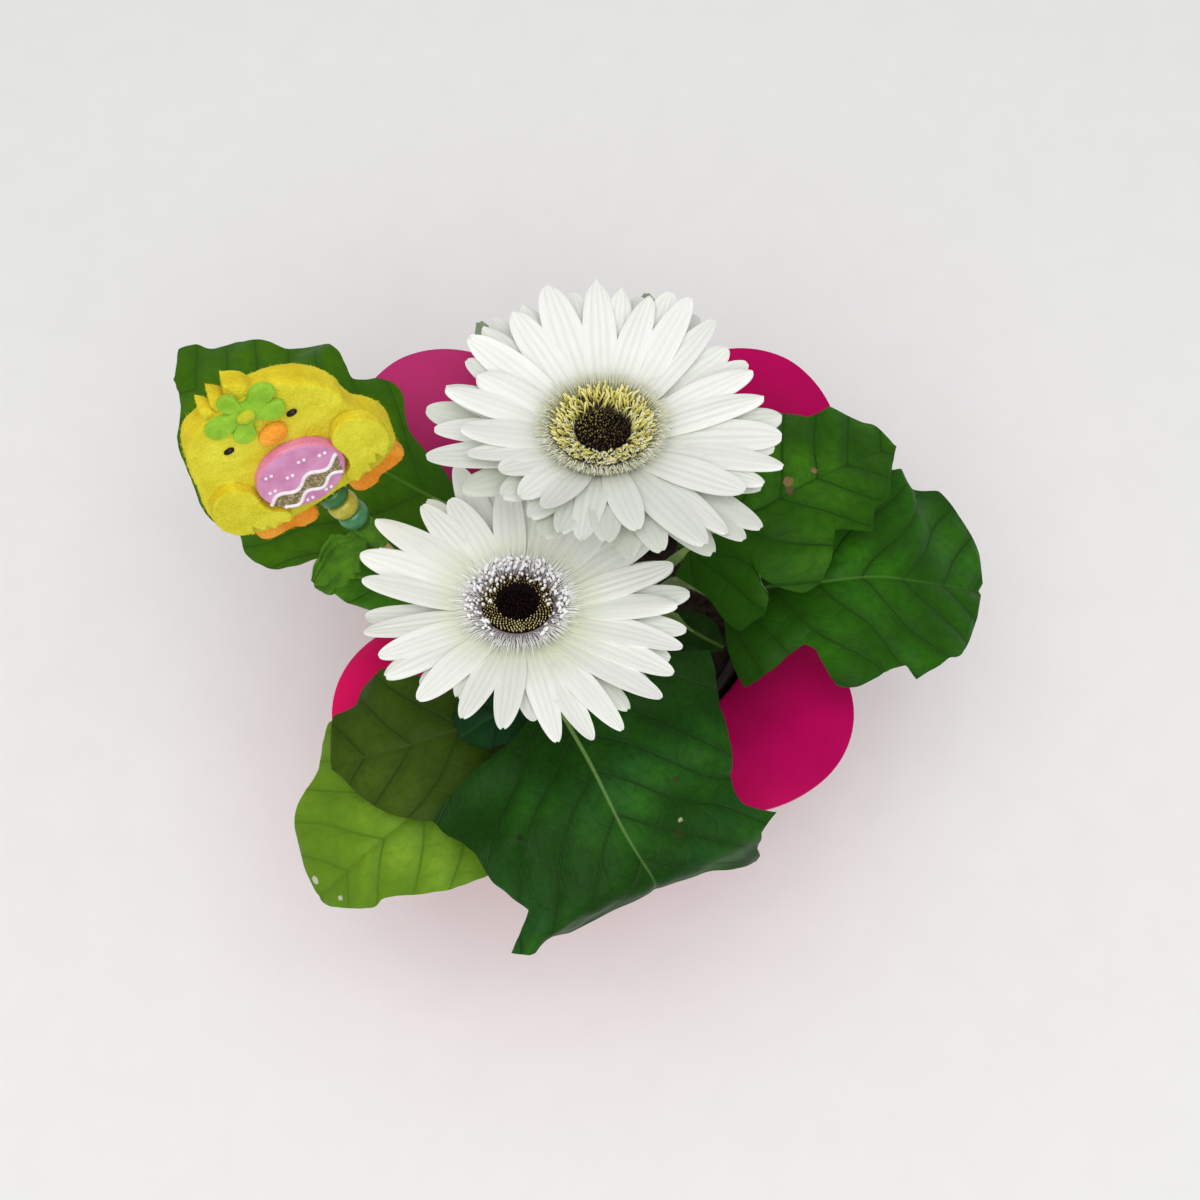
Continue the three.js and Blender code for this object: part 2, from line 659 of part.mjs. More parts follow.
function oval(x, y, width, height, sides = 12) {
  return outline(Array.from({ length: sides }, (_, i) => {
    const angle = (i / sides) * 2 * Math.PI;
    return [x + (width / 2) * Math.cos(angle), y + (height / 2) * Math.sin(angle)];
  }));
}

const bodyOutline = [
  [0, 0.4], [12, 0.4], [20, 1.2], [25.2, 4.5], [27.2, 9], [27.4, 13.5], [26, 18], [23.6, 22],
  [22.9, 26], [23, 30], [22, 34.5], [20.3, 38.5], [17.5, 42], [13, 45.3], [8, 46.9], [4.2, 47.2],
  [2.6, 50.6], [0.2, 47.3], [-2.6, 51.2], [-5.2, 47.5], [-8, 51], [-10, 47.4], [-15, 45.9],
  [-18, 44], [-20.5, 40.5], [-23.5, 33.5], [-25.7, 26.6], [-27.6, 21.5], [-29, 16],
  [-28.8, 11.5], [-26.3, 6.1], [-21.8, 1.9], [-13, 0.4],
];
const wingOutline = [
  [13.2, 20.5], [16.5, 24.8], [20.8, 25.8], [24.6, 23.4], [27, 18.8], [27.1, 14], [24.6, 9.2],
  [20.9, 7.8], [20.3, 9.6], [17.6, 6.4], [12.6, 3.8], [9.6, 5.4], [9.6, 7.9], [12.9, 10.4],
  [13.8, 14.5],
];
const footOutline = [
  [6.5, 0.05], [19.5, 0.4], [24, 2.6], [24.3, -3], [22, -5], [18, -5.6], [14.6, -5.8],
  [12.2, -7.6], [8, -7.6], [6.2, -5],
];

const mirrored = (points) => points.map(([x, y]) => [-x, y]).reverse();

// Five rounded petals, each with its own direction in degrees and its reach.
function flowerShape() {
  const petals = [[22, 11.4], [106, 9], [177, 12], [235, 10.4], [329, 10.8]];
  const side = [[-25, 0.5], [-22, 0.8], [-10, 0.98], [0, 1], [10, 0.98], [22, 0.8], [25, 0.5]];
  const points = petals.flatMap(([middle, reach]) => side.map(([turn, share]) => {
    const angle = radians(middle + turn);
    const radius = reach * share;
    return [1 + radius * Math.cos(angle), 44.3 + radius * Math.sin(angle)];
  }));
  return outline(points);
}

// A turned body round the stake: profile of radius and height along Y of the pick's frame.
function turnedRing(hole, radius, middleY, height, sides, ends = 0.55) {
  const profile = [
    [hole, -0.5], [radius * ends, -0.5], [radius * 0.9, -0.3], [radius, 0], [radius * 0.9, 0.3],
    [radius * ends, 0.5], [hole, 0.5],
  ];
  const rows = profile.map(([r, share]) => circleRow(r, share * height, sides));
  return roundBody(rows, true).rotateX(-Math.PI / 2).translate(0, middleY, -pick.thickness / 2);
}

// The felt strip wrapped round the stake, with its scalloped leaf hanging out to the side.
function feltLeaf(hole) {
  const band = turnedRing(hole, 3.3, -22.8, 7, 10, 0.96);
  const half = [3, 6, 8.5, 9, 8, 8.6, 7, 7.6, 4, 1.5];
  const rows = half.map((width, i) => {
    const x = -2 - 2.3 * i;
    return [-1, 0, 1].map((v) => new THREE.Vector3(
      x, -22.5 + 0.12 * x + v * width * 0.55 - 0.004 * x * x,
      -pick.thickness / 2 - v * width * 0.85 + 0.8 * Math.sin(i) - 0.12 * x,
    ));
  });
  const under = rows.map((row) => row.map((p) => p.clone().add(new THREE.Vector3(0, -1.4, -0.9))));
  return join([band, sheetBody(rows, under)]);
}

function buildPick() {
  const group = new THREE.Group();
  const across = vec(pick.across).normalize();
  const up = vec(pick.up).addScaledVector(across, -vec(pick.up).dot(across)).normalize();
  const frame = new THREE.Matrix4().makeBasis(across, up, across.clone().cross(up));
  group.quaternion.setFromRotationMatrix(frame);
  group.position.copy(vec(pick.foot));

  const hole = pick.stake + gap;
  const middle = -pick.thickness / 2;
  const stick = (radius, length) => new THREE.CylinderGeometry(radius, radius, length, 10);
  const stakeTop = pick.stakeInBody;
  const stakeMiddle = stakeTop - pick.stakeLength / 2;
  const placeStick = (stickBody, y) => stickBody.translate(0, y, middle);
  const socket = placeStick(stick(hole, stakeTop + 3), stakeTop / 2);
  const body = toSolid(flatPiece(outline(bodyOutline), -pick.thickness, pick.thickness, 1))
    .subtract(toSolid(socket));

  group.add(
    named('chick_body', toGeometry(body), 0xdcd02c, 0.95),
    named('pick_stake', placeStick(stick(pick.stake, pick.stakeLength), stakeMiddle), 0xc8b070),
    named('chick_egg', flatPiece(oval(0.4, 18, 24, 23.4, 20), gap, 4.2, 0.8), 0xd080b8, 0.7),
    named('chick_beak', flatPiece(oval(2.6, 33.4, 8.6, 6.2, 10), gap, 3.2, 0.8), 0xe8822a, 0.9),
    named('chick_flower', flatPiece(flowerShape(), gap, 1.8, 0), 0x8cc63c, 0.95),
    named('chick_flower_centre', flatPiece(oval(1, 44.5, 5, 3.6, 10), 2.4, 1.4, 0), 0xb8c42c, 0.9),
  );
  const sides = { right: (points) => points, left: mirrored };
  Object.entries(sides).forEach(([side, turn]) => {
    const sign = side === 'right' ? 1 : -1;
    group.add(
      named(`chick_wing_${side}`, flatPiece(outline(turn(wingOutline)), gap, 3.4, 0.5),
        0xe0d434, 0.95),
      named(`chick_foot_${side}`, flatPiece(outline(turn(footOutline)), -6.6, 3.6, 0.4),
        0xe8822a, 0.95),
      named(`chick_eye_${side}`, flatPiece(oval(10.2 * sign, 35.3, 3, 1.9, 10), gap, 0.9, 0),
        0x24100c, 0.4),
    );
  });

  const beads = { top: 0x2f6b34, middle: 0xb4aa28, bottom: 0x3f8a5a };
  Object.entries(beads).forEach(([place, colour], i) => {
    const y = -3.4 - i * (pick.beadHeight + gap);
    group.add(named(`bead_${place}`, turnedRing(hole, pick.bead, y, pick.beadHeight, 12), colour, 0.5));
  });
  group.add(named('felt_leaf', feltLeaf(hole), 0x5c9c1e, 0.95));

  group.updateMatrixWorld(true);
  const wide = placeStick(stick(hole, pick.stakeLength), stakeMiddle);
  holes.push(wide.applyMatrix4(group.matrixWorld));
  return group;
}

// ---- the whole plant ----------------------------------------------------------------------

const group = new THREE.Group();
group.add(buildCover(), buildInnerPot());
Object.entries(leaves).forEach(([name, leaf]) => group.add(buildLeaf(name, leaf)));
Object.entries(blooms).forEach(([name, bloom]) => {
  group.add(buildScape(`scape_${name}`, bloom), buildBloom(name, bloom));
});
group.add(buildPick());
group.add(buildSoil());

export default group;
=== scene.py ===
# Potted gerbera: two white blooms and a rosette of lobed leaves in a black growing pot, inside a
# magenta cover with four flared lobes. A foam chick on a stick is stuck in the peat.
# Shapes are worked out in millimetres and turned to metres when a mesh is made.
import math

import bmesh
import bpy
import numpy as np
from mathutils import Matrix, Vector


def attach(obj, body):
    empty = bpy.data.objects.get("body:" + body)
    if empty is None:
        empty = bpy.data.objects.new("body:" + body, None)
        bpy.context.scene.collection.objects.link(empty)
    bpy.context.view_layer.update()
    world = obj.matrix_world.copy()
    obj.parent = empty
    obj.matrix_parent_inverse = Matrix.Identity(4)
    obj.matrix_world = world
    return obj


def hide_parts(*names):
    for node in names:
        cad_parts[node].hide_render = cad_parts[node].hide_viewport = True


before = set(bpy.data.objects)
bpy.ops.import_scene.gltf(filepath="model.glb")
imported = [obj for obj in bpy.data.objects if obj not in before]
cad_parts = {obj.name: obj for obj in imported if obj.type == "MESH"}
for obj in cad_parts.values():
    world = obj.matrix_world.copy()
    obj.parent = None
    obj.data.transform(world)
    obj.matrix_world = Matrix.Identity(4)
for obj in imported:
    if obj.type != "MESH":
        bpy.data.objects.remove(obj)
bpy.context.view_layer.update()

# ---- camera -------------------------------------------------------------------------------
# The plant is seen from the front and from well above, 66 degrees over the horizon. The lens
# is given by its focal length in pixels of a picture 1200 pixels wide.

view_elevation = math.radians(66)
view_distance = 0.650
view_target = Vector((0.0022, -0.0279, 0.150))
focal_pixels = 2168
image_pixels = 1200

camera_data = bpy.data.cameras.new("camera")
camera_data.sensor_width = 36
camera_data.lens = camera_data.sensor_width * focal_pixels / image_pixels
camera = bpy.data.objects.new("camera", camera_data)
towards_camera = Vector((0, -math.cos(view_elevation), math.sin(view_elevation)))
camera.location = view_target + view_distance * towards_camera
camera.rotation_euler = (math.pi / 2 - view_elevation, 0, 0)
bpy.context.collection.objects.link(camera)
bpy.context.scene.camera = camera
bpy.context.scene.view_settings.view_transform = "Standard"

# ---- floor --------------------------------------------------------------------------------
# A plain pale table top, painted matt. It is no part of the plant.

floor_half, floor_drop = 1.6, 0.0002


def linear(hex_colour):
    """An sRGB colour such as "#A0B0C0" as linear red, green, blue and full cover."""
    parts = [int(hex_colour[i:i + 2], 16) / 255 for i in (1, 3, 5)]
    return [c / 12.92 if c <= 0.04045 else ((c + 0.055) / 1.055) ** 2.4 for c in parts] + [1.0]


def connect(tree, target, inputs):
    """Sets the sockets of a node by name: each to a value, a colour as a hex text, an output,
    or a node's first output."""
    for name, value in inputs.items():
        socket = target.inputs[name]
        if isinstance(value, bpy.types.Node):
            value = value.outputs[0]
        if isinstance(value, bpy.types.NodeSocket):
            tree.links.new(value, socket)
        else:
            socket.default_value = linear(value) if isinstance(value, str) else value


def node(tree, kind, inputs=None, stops=(), **settings):
    """Adds a shader node with its settings and inputs. Stops are the colours along a ramp."""
    new = tree.nodes.new("ShaderNode" + kind)
    for name, value in settings.items():
        setattr(new, name, value)
    connect(tree, new, inputs or {})
    for i, (place, colour) in enumerate(stops):
        stop = new.color_ramp.elements[i] if i < 2 else new.color_ramp.elements.new(place)
        stop.position = place
        stop.color = linear(colour)
    return new


def finish(name, **inputs):
    """A new material with its node tree and its one shader, whose sockets are set by name."""
    material = bpy.data.materials.new(name)
    material.use_nodes = True
    tree = material.node_tree
    skin = tree.nodes["Principled BSDF"]
    connect(tree, skin, {socket.replace("_", " "): value for socket, value in inputs.items()})
    return material, tree, skin


def mottled(name, pattern, stops, raised=None, **inputs):
    """A material whose colour runs along a ramp over noise in the object's own place. A pattern
    is the size of a spot in millimetres, for all axes or for each, and the noise's detail.
    Raised gives the strength and height of a relief of the same noise, or of a pattern of its
    own that it adds."""
    material, tree, skin = finish(name, **inputs)
    where = node(tree, "TexCoord").outputs["Object"]
    strength, height, *own = raised or (0, 0)
    noises = []
    for size, detail in (pattern, *own):
        spots = node(tree, "Mapping", {"Vector": where, "Scale": 1000 / np.multiply(size, [1, 1, 1])})
        noises.append(node(tree, "TexNoise", {"Vector": spots, "Scale": 1.0, "Detail": detail}))
    connect(tree, skin, {"Base Color": node(tree, "ValToRGB", {"Fac": noises[0]}, stops)})
    if raised:
        relief = node(tree, "Bump", {"Height": noises[-1], "Strength": strength,
                                     "Distance": height})
        connect(tree, skin, {"Normal": relief})
    return material


matt_paint = mottled("matt_paint", (16.7, 2), [(0.3, "#F4F4F3"), (0.7, "#F6F6F5")], Roughness=0.9)

floor_mesh = bpy.data.meshes.new("floor")
floor_mesh.from_pydata([(x * floor_half, y * floor_half, -floor_drop)
                        for x, y in ((-1, -1), (1, -1), (1, 1), (-1, 1))], [], [(0, 1, 2, 3)])
floor_mesh.materials.append(matt_paint)
floor = bpy.data.objects.new("floor", floor_mesh)
bpy.context.collection.objects.link(floor)

# ---- pot cover ----------------------------------------------------------------------------
# A cover of thin magenta polypropylene sheet: a tapered cup whose collar flares into four round
# lobes. It is cut and pressed from one sheet, so each lobe keeps a soft straight fold, and the
# cut edge shows paler than the face.

merge_distance, crease_angle = 1e-7, math.radians(55)


def grid_faces(rows, columns, ring=False):
    """Corner numbers of the squares of a grid of points; a ring's last column meets its first."""
    i = np.arange(rows - 1)[:, None] * columns
    j = np.arange(columns if ring else columns - 1)[None, :]
    k = (j + 1) % columns
    return np.stack([i + j, i + k, i + columns + k, i + columns + j], axis=-1).reshape(-1, 4)


def shell(points, faces, skins=0, **values):
    """A body before it is a mesh: points in millimetres, the corners of its faces, the number of
    each face's material, and what its material reads, one value for all points or one each."""
    points = points.reshape(-1, 3)
    values = {key: np.full(len(points), value) if np.isscalar(value) else value
              for key, value in values.items()}
    return {"points": points, "faces": faces, "skins": np.broadcast_to(skins, len(faces)),
            "values": values}


def make_piece(name, shells, materials):
    """Joins shells in one object at the origin, in metres. Points that coincide are merged, all
    faces are turned outwards, and edges that turn by more than the crease angle stay crisp. A
    value that one shell has and another lacks is 0 on the other."""
    starts = np.cumsum([0] + [len(s["points"]) for s in shells])
    faces = np.concatenate([s["faces"] + start for s, start in zip(shells, starts)])
    mesh = bpy.data.meshes.new(name)
    mesh.from_pydata(np.concatenate([s["points"] for s in shells]) / 1000, [], faces.tolist())
    skins = np.concatenate([s["skins"] for s in shells]).astype(np.int32)
    mesh.polygons.foreach_set("material_index", skins)
    for key, width in {k: v.shape[1:] for s in shells for k, v in s["values"].items()}.items():
        column = np.concatenate([s["values"].get(key, np.zeros((len(s["points"]), *width)))
                                 for s in shells])
        kept = mesh.attributes.new(key, "FLOAT_VECTOR" if width else "FLOAT", "POINT")
        kept.data.foreach_set("vector" if width else "value", column.astype(np.float32).ravel())
    work = bmesh.new()
    work.from_mesh(mesh)
    bmesh.ops.remove_doubles(work, verts=work.verts, dist=merge_distance)
    bmesh.ops.recalc_face_normals(work, faces=work.faces)
    work.to_mesh(mesh)
    work.free()
    mesh.shade_smooth()
    mesh.set_sharp_from_angle(angle=crease_angle)
    for material in materials:
        mesh.materials.append(material)
    piece = bpy.data.objects.new(name, mesh)
    bpy.context.collection.objects.link(piece)
    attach(piece, "root")
    return piece


def noise(points, size, seed=0):
    """Smooth noise from -1 to 1: random heights on a lattice of the given size in millimetres,
    eased between the eight corners round each point."""
    place = np.asarray(points, float) / size
    cell = np.floor(place)
    share = place - cell
    share = share * share * (3 - 2 * share)
    total = np.zeros(place.shape[:-1])
    for corner in np.ndindex(2, 2, 2):
        mixed = np.sin((cell + corner) @ [127.1, 311.7, 74.7] + 17.3 * seed) * 43758.5453
        weight = np.prod(np.where(corner, share, 1 - share), axis=-1)
        total += weight * (mixed - np.floor(mixed))
    return 2 * total - 1


cover_base, cover_neck, cover_neck_height, cover_wall = 42, 57, 95, 0.9
lobe_centre, lobe_radius, lobe_turn, notch_depth = 65, 36, math.radians(105), 3
collar_rise, fold_line, fold_ease, fold_round = 0.44, 66, 0.22, 1.2
ripple_height, ripple_size = 0.9, 38


def clover_rim(lobe_points, notch_points):
    """x, y and neck angle of the collar's rim: four arcs about centres on the diagonals, each
    turning 105 degrees to either side, joined by short notches that dip inwards as a sine."""
    end = np.array([lobe_centre + lobe_radius * math.cos(lobe_turn),
                    lobe_radius * math.sin(lobe_turn)])
    half, end_radius = math.atan2(end[1], end[0]), math.hypot(*end)
    turn = np.linspace(-lobe_turn, lobe_turn, lobe_points)
    step = np.linspace(0, 1, notch_points + 2)[1:-1]
    parts = []
    for middle in np.radians([45, 135, 225, 315]):
        parts.append([lobe_centre * math.cos(middle) + lobe_radius * np.cos(middle + turn),
                      lobe_centre * math.sin(middle) + lobe_radius * np.sin(middle + turn),
                      middle + turn / lobe_turn * half])
        angle = middle + half + (np.pi / 2 - 2 * half) * step
        radius = end_radius - notch_depth * np.sin(np.pi * step)
        parts.append([radius * np.cos(angle), radius * np.sin(angle), angle])
    return np.concatenate(parts, axis=1)


def collar(rim, shares, neck, lift):
    """Rows from the neck (share 0) to the rim (share 1). The collar climbs as 1 - (1 - share)
    squared, so it flattens outwards; beyond its fold line each lobe dips a little."""
    x, y, angle = rim
    share = np.asarray(shares)[:, None]
    across = neck * np.cos(angle) * (1 - share) + x * share
    along = neck * np.sin(angle) * (1 - share) + y * share
    climb = collar_rise * (np.hypot(x, y) - cover_neck) * (1 - (1 - share) ** 2)
    beyond = np.log1p(np.exp((np.abs(across) - fold_line) / fold_round)) * fold_round
    flat = np.stack([across, along, np.zeros_like(across)], axis=-1)
    height = cover_neck_height + climb + lift * share - fold_ease * beyond
    height += ripple_height * share ** 2 * noise(flat, ripple_size, 3)
    return np.stack([across, along, height], axis=-1)


def ring_rows(angle, profile):
    """Round rows about the upright axis, one for each radius and height of the profile."""
    radius, height = np.array(profile, float).T
    return np.stack([radius[:, None] * np.cos(angle), radius[:, None] * np.sin(angle),
                     np.broadcast_to(height[:, None], (len(height), len(angle)))], axis=-1)


rim = clover_rim(60, 9)
cup = np.linspace(0, 1, 14)[1:-1]
cup_side = [(cover_base + (cover_neck - cover_base) * c, cover_neck_height * c) for c in cup]
cup_floor = cover_wall + 0.7
inside_neck = cover_neck - cover_wall
outside = ring_rows(rim[2], [(0, 0), (cover_base - 8, 0), (cover_base - 1, 0),
                             (cover_base - 0.2, 0.6), *cup_side, (cover_neck, cover_neck_height)])
inside = ring_rows(rim[2], [
    (inside_neck, cover_neck_height), *[(r - cover_wall, z) for r, z in cup_side[::-1]],
    (cover_base - cover_wall, cup_floor + 0.6), (cover_base - 2, cup_floor), (0, cup_floor),
])
shares = np.linspace(0, 1, 26)[1:]
cover_rows = np.concatenate([
    outside, collar(rim, shares, cover_neck, -cover_wall),
    collar(rim, shares[::-1], inside_neck, 0), inside,
])
cover_faces = grid_faces(len(cover_rows), rim.shape[1], ring=True)
cut_row = len(outside) + len(shares) - 1
cover_skins = (np.arange(len(cover_faces)) // rim.shape[1] == cut_row).astype(int)

# Polypropylene sheet: a satin face with a faint haze in its dye and a fine grain from the
# pressing rolls, drawn at 0.8 mm so that it shows. The front left lobe is painted lighter and
# warmer pink as painted light, and the back left one has a pale painted sheen.
haze_size, grain_size = 38.5, 0.8
polypropylene, tree, skin = finish("polypropylene_sheet", Roughness=0.5, IOR=1.49,
                                   Specular_IOR_Level=0.06)
where = node(tree, "TexCoord").outputs["Object"]
haze = node(tree, "TexNoise", {"Vector": where, "Scale": 1000 / haze_size, "Detail": 3.0})
dye = node(tree, "ValToRGB", {"Fac": haze},
           [(0.3, "#B00453"), (0.55, "#BE065B"), (0.75, "#CA0A64")])
# Painted light: the front left lobe is painted lighter and warmer pink.
painted_light_lobe = ((-0.6, -0.8, 0), 0.02, 0.8, "#FA1868")
# Painted sheen: the back left lobe is painted with a pale pink sheen.
painted_sheen_lobe = ((-0.7, 0.7, 0), 0.03, 0.25, "#EC6AB0")
for towards, start, most, tint in (painted_light_lobe, painted_sheen_lobe):
    out = node(tree, "VectorMath", {0: where, 1: towards}, operation="DOT_PRODUCT")
    share = node(tree, "MapRange", {0: out.outputs["Value"], 1: start, 2: 0.075, 3: 0.0, 4: most})
    dye = node(tree, "MixRGB", {0: share, 1: dye, 2: tint})
grain = node(tree, "TexNoise", {"Vector": where, "Scale": 1000 / grain_size})
relief = node(tree, "Bump", {"Height": grain, "Strength": 0.12, "Distance": 0.0003})
connect(tree, skin, {"Base Color": dye, "Normal": relief})
cut_edge = mottled("polypropylene_cut_edge", (3.33, 2), [(0.3, "#C83E80"), (0.7, "#DC6A9C")],
                   Roughness=0.6, IOR=1.49)

cover = make_piece("cover_sheet", [shell(cover_rows, cover_faces, cover_skins)],
                   [polypropylene, cut_edge])
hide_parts("pot_cover")

# ---- growing pot --------------------------------------------------------------------------
# The black growing pot stands inside the cover. It is injection-moulded from recycled
# polypropylene, with a rolled lip and shallow upright ribs, and looks matt and a little dusty.

pot_foot, pot_top, pot_wall, pot_height, pot_floor, pot_stand = 37, 51, 1.1, 92, 2, 1.9
lip_width, lip_start = 2.4, pot_height - 6
rib_height, rib_count = 0.35, 30


def pot_side(height):
    """The outer radius of the growing pot's wall at a height."""
    return pot_foot + (pot_top - pot_foot) * np.asarray(height) / pot_height


wall_heights = np.linspace(pot_stand + 1.5, lip_start - 0.4, 16)
lip_edge = pot_top + lip_width
around = np.linspace(0, 2 * np.pi, 180, endpoint=False)
pot_profile = [
    (0, pot_stand), (pot_foot - 3, pot_stand), (pot_foot, pot_stand + 0.6),
    *zip(pot_side(wall_heights), wall_heights), (pot_top + 0.3, lip_start),
    (lip_edge - 0.4, lip_start), (lip_edge, lip_start + 0.4), (lip_edge, pot_height - 0.8),
    (lip_edge - 0.8, pot_height), (pot_top - pot_wall + 0.5, pot_height),
    (pot_top - pot_wall, pot_height - 0.5),
    *zip(pot_side(wall_heights[::-1]) - pot_wall, wall_heights[::-1]),
    (pot_foot - 3, pot_stand + pot_floor), (0, pot_stand + pot_floor),
]
pot_rows = ring_rows(around, pot_profile)
ribbed = slice(3, 3 + len(wall_heights))
on_rib = np.cos(rib_count * around) > 0.6
pot_rows[ribbed, :, :2] *= (1 + rib_height / pot_top * on_rib)[:, None]

moulded_black = mottled("moulded_black_polypropylene", (11.1, 6),
                        [(0.35, "#101010"), (0.75, "#24221F")],
                        raised=(0.2, 0.0003, (1.11, 2)), Roughness=0.55, IOR=1.49)
pot_shell = shell(pot_rows, grid_faces(len(pot_rows), len(around), ring=True))
growing_pot = make_piece("growing_pot_shell", [pot_shell], [moulded_black])
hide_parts("nursery_pot")

# ---- peat ---------------------------------------------------------------------------------
# Damp peat fills the growing pot. It is loose crumbs and short brown fibres on a lumpy bed,
# pressed in by hand when the plant is potted on.


def rods(paths, radii, sides=4, skins=0, **values):
    """Many closed rods at once. Each follows its own row of points; a ring of corners stands
    square to the path at every point, and both ends close to a point. Values are one per rod,
    and "along" runs from 0 at the root to 1 at the tip."""
    paths = np.asarray(paths, float)
    count, stations = paths.shape[:2]
    radii = np.broadcast_to(radii, (count, stations))
    tangent = np.gradient(paths, axis=1)
    tangent /= np.linalg.norm(tangent, axis=-1, keepdims=True)
    mean = tangent.mean(axis=1)
    helper = np.where(np.abs(mean[:, 2:]) > 0.9 * np.linalg.norm(mean, axis=1, keepdims=True),
                      [1.0, 0, 0], [0, 0, 1.0])
    first = np.cross(mean, helper)[:, None, :]
    first = first - tangent * np.sum(first * tangent, axis=-1, keepdims=True)
    first /= np.linalg.norm(first, axis=-1, keepdims=True)
    second = np.cross(tangent, first)
    angle = np.linspace(0, 2 * np.pi, sides, endpoint=False)
    offset = (first[:, :, None] * np.cos(angle)[:, None]
              + second[:, :, None] * np.sin(angle)[:, None])
    rings = paths[:, :, None] + offset * radii[:, :, None, None]
    ends = [np.repeat(paths[:, [k], None], sides, axis=2) for k in (0, -1)]
    points = np.concatenate([ends[0], rings, ends[1]], axis=1)
    faces = grid_faces(stations + 2, sides, ring=True)
    size = (stations + 2) * sides
    faces = (faces[None] + size * np.arange(count)[:, None, None]).reshape(-1, 4)
    along = np.concatenate([[0], np.linspace(0, 1, stations), [1]])
    spread = {key: np.repeat(np.asarray(v, float), size, axis=0) for key, v in values.items()}
    spread["along"] = np.tile(np.repeat(along, sides), count)
    return shell(points, faces, skins, **spread)


peat_top, peat_bottom, peat_crown, peat_gap = 84, 4.2, 1.3, 0.3
crumb_count, fibre_count = 800, 130
dice = np.random.default_rng(11)
inner_side, foot = (float(pot_side(z)) - pot_wall - peat_gap for z in (peat_top, peat_bottom))
radius = np.linspace(0, inner_side, 46)
around = np.linspace(0, 2 * np.pi, 170, endpoint=False)
bed = ring_rows(around, [(r, peat_top + peat_crown * (1 - (r / inner_side) ** 2)) for r in radius])
bed[1:, :, 2] += 1.1 * noise(bed[1:], 7, 1) + 0.7 * noise(bed[1:], 2.6, 2)
bed[-1, :, 2] = peat_top - 1
bed = np.concatenate([bed, ring_rows(around, [(foot, peat_bottom), (0, peat_bottom)])])
bed_shell = shell(bed, grid_faces(len(bed), len(around), ring=True), draw=0.4)

# Crumbs are up to 2.2 mm long and fibres 5 to 11 mm. Each lies at its own slant.
spot = np.sqrt(dice.random(crumb_count + fibre_count)) * (inner_side - 2)
turn = dice.random(crumb_count + fibre_count) * 2 * np.pi
lean = dice.normal(size=(crumb_count + fibre_count, 3)) * [1, 1, 0.45]
lean /= np.linalg.norm(lean, axis=1, keepdims=True)
centre = np.stack([spot * np.cos(turn), spot * np.sin(turn),
                   peat_top + peat_crown * (1 - (spot / inner_side) ** 2) + 0.7], axis=1)
half_length = np.concatenate([0.3 + 0.8 * dice.random(crumb_count) ** 2,
                              2.5 + 3 * dice.random(fibre_count)])
reach = np.linspace(-1, 1, 3)[None, :, None] * (lean * half_length[:, None])[:, None]
thick = np.concatenate([half_length[:crumb_count] * 0.8, np.full(fibre_count, 0.22)])
litter = rods(centre[:, None] + reach, thick[:, None] * [0.5, 1, 0.45], sides=5,
              draw=dice.random(len(spot)))

# Damp peat: dark and quite matt, its crumbs each a little lighter or darker.
clod_size = 2.86
peat_crumb, tree, skin = finish("damp_peat", Roughness=0.95)
where = node(tree, "TexCoord").outputs["Object"]
own = node(tree, "Attribute", attribute_name="draw").outputs["Fac"]
clods = node(tree, "TexNoise", {"Vector": where, "Scale": 1000 / clod_size, "Detail": 5.0})
mixed = node(tree, "Math", {0: clods, 1: own}, operation="ADD")
earth = node(tree, "ValToRGB", {"Fac": mixed},
             [(0.3, "#0C0907"), (0.8, "#1C140F"), (1.0, "#3A2A1C")])
relief = node(tree, "Bump", {"Height": clods, "Strength": 0.7, "Distance": 0.0008})
connect(tree, skin, {"Base Color": earth, "Normal": relief})

peat = make_piece("peat_bed", [bed_shell, litter], [peat_crumb])
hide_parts("soil")
